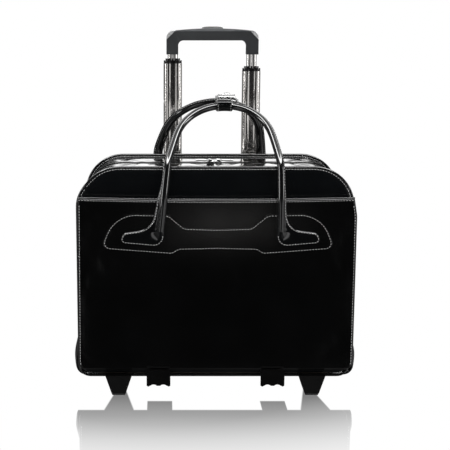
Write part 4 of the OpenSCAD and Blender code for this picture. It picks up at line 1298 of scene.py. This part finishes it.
def seams():
    """White stitching on the walls, the pocket, its mouth and the trim."""
    runs = []
    lift = 0.2 * MM
    front = resample(grown(wall_outline(), -0.6 * MM), 3 * MM, closed=True)
    upper = flared(front)
    upper = upper[upper[:, 1] > pocket_high[2] - 0.004]
    start = int(np.argmax(np.linalg.norm(np.diff(upper, axis=0), axis=1))) + 1
    upper = np.roll(upper, -start, 0) if start < len(upper) else upper
    runs.append((np.column_stack([upper[:, 0], np.full(len(upper), FRONT_Y + lift), upper[:, 1]]), (0, -1, 0)))
    loop = np.vstack([front, front[:1]])
    runs.append((np.column_stack([loop[:, 0], np.full(len(loop), BACK_Y - lift), loop[:, 1]]), (0, 1, 0)))
    inner = loop[loop[:, 1] > crown_high[2] - 0.115]
    inner = inner[np.argsort(np.arctan2(inner[:, 1] - 0.2, inner[:, 0]))]
    runs.append((np.column_stack([inner[:, 0], np.full(len(inner), rear_low[1] - 0.1 * MM), inner[:, 1]]),
                 (0, -1, 0)))
    ride(stitches("wall_stitches", runs, sewing))

    runs = []
    half, top = pocket_high[0] / MM, pocket_high[2] / MM
    face = pocket_low[1]
    sides = grown(pocket_path(False), -3.2 * MM, closed=False)
    sides = sides[(sides[:, 1] > pocket_low[2] + 7 * MM) & (sides[:, 1] < (top - 6) * MM)]
    for side in (-1, 1):
        line = sides[sides[:, 0] * side > 0.18]
        runs.append((np.column_stack([line[:, 0], np.full(len(line), face + 0.05 * MM), line[:, 1]]), (0, -1, 0)))
    mouth = outline_top(half - 1, top, 3.0 * MM)
    mouth[:, 1] -= 3.2 * MM
    hang = 1.4 * MM * np.exp(-((mouth[:, 1] - 0.275) / 0.022) ** 2) * np.exp(-(mouth[:, 0] / 0.11) ** 2)
    runs.append((np.column_stack([mouth[:, 0], face + hang - 0.05 * MM, mouth[:, 1]]), (0, -1, 0)))
    ride(stitches("pocket_stitches", runs, sewing))

    seam = trim_seam()
    loop = np.vstack([seam, seam[:1]])
    y = trim_low[1] + 0.2 * MM
    ride(stitches("trim_stitches", [(np.column_stack([loop[:, 0], np.full(len(loop), y), loop[:, 1]]),
                                     (0, -1, 0))], sewing))


# ---------- stage ----------

def band(s, value, start, end, soft):
    """1 between start and end, with soft edges."""
    rise = s.node("MapRange", {"Value": value, "From Min": start - soft, "From Max": start + soft},
                  interpolation_type="SMOOTHSTEP")
    fall = s.node("MapRange", {"Value": value, "From Min": end - soft, "From Max": end + soft, "To Min": 1.0,
                               "To Max": 0.0}, interpolation_type="SMOOTHSTEP")
    return s.math("MULTIPLY", rise, fall)


def studio():
    """White backdrop for the camera. Reflections see a dark room with soft boxes at the sides, above and behind."""
    s = Shader("studio", world=True)
    look = s.node("SeparateXYZ", {0: s.node("TexCoord", out="Generated")})
    x, y, z = look.node.outputs
    turn = s.math("DIVIDE", s.math("ARCTAN2", s.math("ABSOLUTE", x), s.math("MULTIPLY", y, -1.0)), math.pi)
    level = s.math("ABSOLUTE", z)

    def lit(strength, *shape):
        out = strength
        for part in shape:
            out = s.math("MULTIPLY", part, out)
        return out

    right = s.math("DIVIDE", s.math("ARCTAN2", x, s.math("MULTIPLY", y, -1.0)), math.pi)
    below = band(s, z, -0.6, -0.02, 0.06)
    behind = band(s, y, 0.60, 2.0, 0.1)
    boxes = [
        s.ramp(turn, (0.0, 0.01), (0.14, 0.02), (0.26, 0.10), (0.50, 0.16), (0.62, 0.22), (0.85, 0.10), (1.0, 0.05)),
        lit(12.0, band(s, turn, 0.37, 0.42, 0.02), band(s, z, -0.02, 0.45, 0.06)),
        lit(1.0, band(s, right, -0.21, -0.10, 0.02), below),
        lit(1.1, band(s, right, 0.14, 0.26, 0.02), below),
        lit(0.60, band(s, right, 0.26, 0.62, 0.06), below),
        lit(18.0, band(s, z, 0.76, 0.90, 0.02), band(s, y, -0.7, 0.0, 0.10)),
        lit(1.0, band(s, z, 0.90, 2.0, 0.02)),
        lit(5.0, band(s, z, 0.56, 0.74, 0.03), band(s, y, 0.25, 2.0, 0.10)),
        lit(1.0, band(s, z, 0.27, 0.50, 0.02), behind),
        lit(2.2, band(s, x, -0.085, 0.145, 0.035), band(s, z, 0.0, 0.30, 0.02), behind),
    ]
    seen = boxes[0]
    for box in boxes[1:]:
        seen = s.math("MAXIMUM", seen, box)
    rays = s.tree.nodes.new("ShaderNodeLightPath").outputs
    strength = s.mix(rays["Is Glossy Ray"], (0.75, 0.75, 0.75, 1), seen)
    strength = s.mix(rays["Is Camera Ray"], strength, (1, 1, 1, 1))
    bpy.context.scene.world = s.finish(s.node("Background", {"Color": strength, "Strength": 1.0}))


def floor():
    """White floor. Seen from in front it has a polished reflection that fades away from the case."""
    s = Shader("floor")
    place = s.node("SeparateXYZ", {0: s.node("NewGeometry", out="Position")})
    x, y, _ = place.node.outputs
    half_x, half_y = float(cad_high[0]), float(cad_high[1])
    beside = s.math("MAXIMUM", s.math("SUBTRACT", s.math("ABSOLUTE", x), half_x), 0.0)
    before = s.math("MAXIMUM", s.math("SUBTRACT", s.math("ABSOLUTE", y), half_y - 0.012), 0.0)
    away = s.math("SQRT", s.math("ADD", s.math("MULTIPLY", beside, beside), s.math("MULTIPLY", before, before)))
    share = s.ramp(s.math("DIVIDE", away, 0.40), (0.0, 0.80), (0.20, 0.62), (0.42, 0.34), (0.72, 0.06), (1.0, 0.0))
    ahead = s.math("SUBTRACT", float(spot("front_feet")[0][1]), y)
    past_case = s.range(ahead, 0.058, 0.062, 0.0, 1.0)
    off_foot = s.math("ABSOLUTE", s.math("SUBTRACT", s.math("ABSOLUTE", x), 0.140))
    beside_foot = s.math("SUBTRACT", off_foot, s.math("MULTIPLY", ahead, 0.17))
    off_clip = s.math("ABSOLUTE", s.math("SUBTRACT", s.math("ABSOLUTE", x), 0.082))
    by_foot = s.range(beside_foot, 0.010, 0.012, 1.0, 0.0)
    by_clip = s.math("MULTIPLY", s.range(off_clip, 0.0175, 0.0185, 1.0, 0.0), s.range(ahead, 0.022, 0.026, 0.0, 1.0))
    near_foot = s.math("MAXIMUM", by_foot, by_clip)
    share = s.math("MULTIPLY", share, s.math("MAXIMUM", past_case, near_foot))
    seen_from = s.node("SeparateXYZ", {0: s.node("NewGeometry", out="Incoming")}, out=1)
    share = s.math("MULTIPLY", share, s.range(seen_from, -0.93, -0.88, 1.0, 0.0))
    white = s.node("Emission", {"Color": (1, 1, 1, 1), "Strength": 1.0})
    mirror = s.node("BsdfGlossy", {"Color": (1, 1, 1, 1), "Roughness": 0.0})
    surface = s.finish(s.node("MixShader", {0: share, 1: white, 2: mirror}))
    half = 8.0
    mesh = bpy.data.meshes.new("floor")
    mesh.from_pydata([(-half, -half, 0), (half, -half, 0), (half, half, 0), (-half, half, 0)], [], [(0, 1, 2, 3)])
    mesh.materials.append(surface)
    ground = bpy.data.objects.new("floor", mesh)
    bpy.context.scene.collection.objects.link(ground)
    ground.visible_glossy = False
    ground.visible_diffuse = False
    ground.visible_shadow = False


def camera():
    """Eye-level product view, slightly from the left and above."""
    data = bpy.data.cameras.new("camera")
    data.lens = 83.32
    data.sensor_width = 36
    data.clip_start = 0.05
    cam = bpy.data.objects.new("camera", data)
    cam.location = (-0.0767, -1.573632, 0.533821)
    data.shift_x = 0.1368
    pitch = 0.18627
    forward = Vector((0, math.cos(pitch), -math.sin(pitch)))
    cam.rotation_euler = forward.to_track_quat("-Z", "Y").to_euler()
    bpy.context.scene.collection.objects.link(cam)
    bpy.context.scene.camera = cam
    bpy.context.scene.view_settings.view_transform = "Standard"


finish_nodes()
case_body()
walls()
piping()
pocket()
lobed_trim()
handles()
keeper()
zipper()
trolley_cover()
divider()
button_cap()
seams()
studio()
floor()
camera()
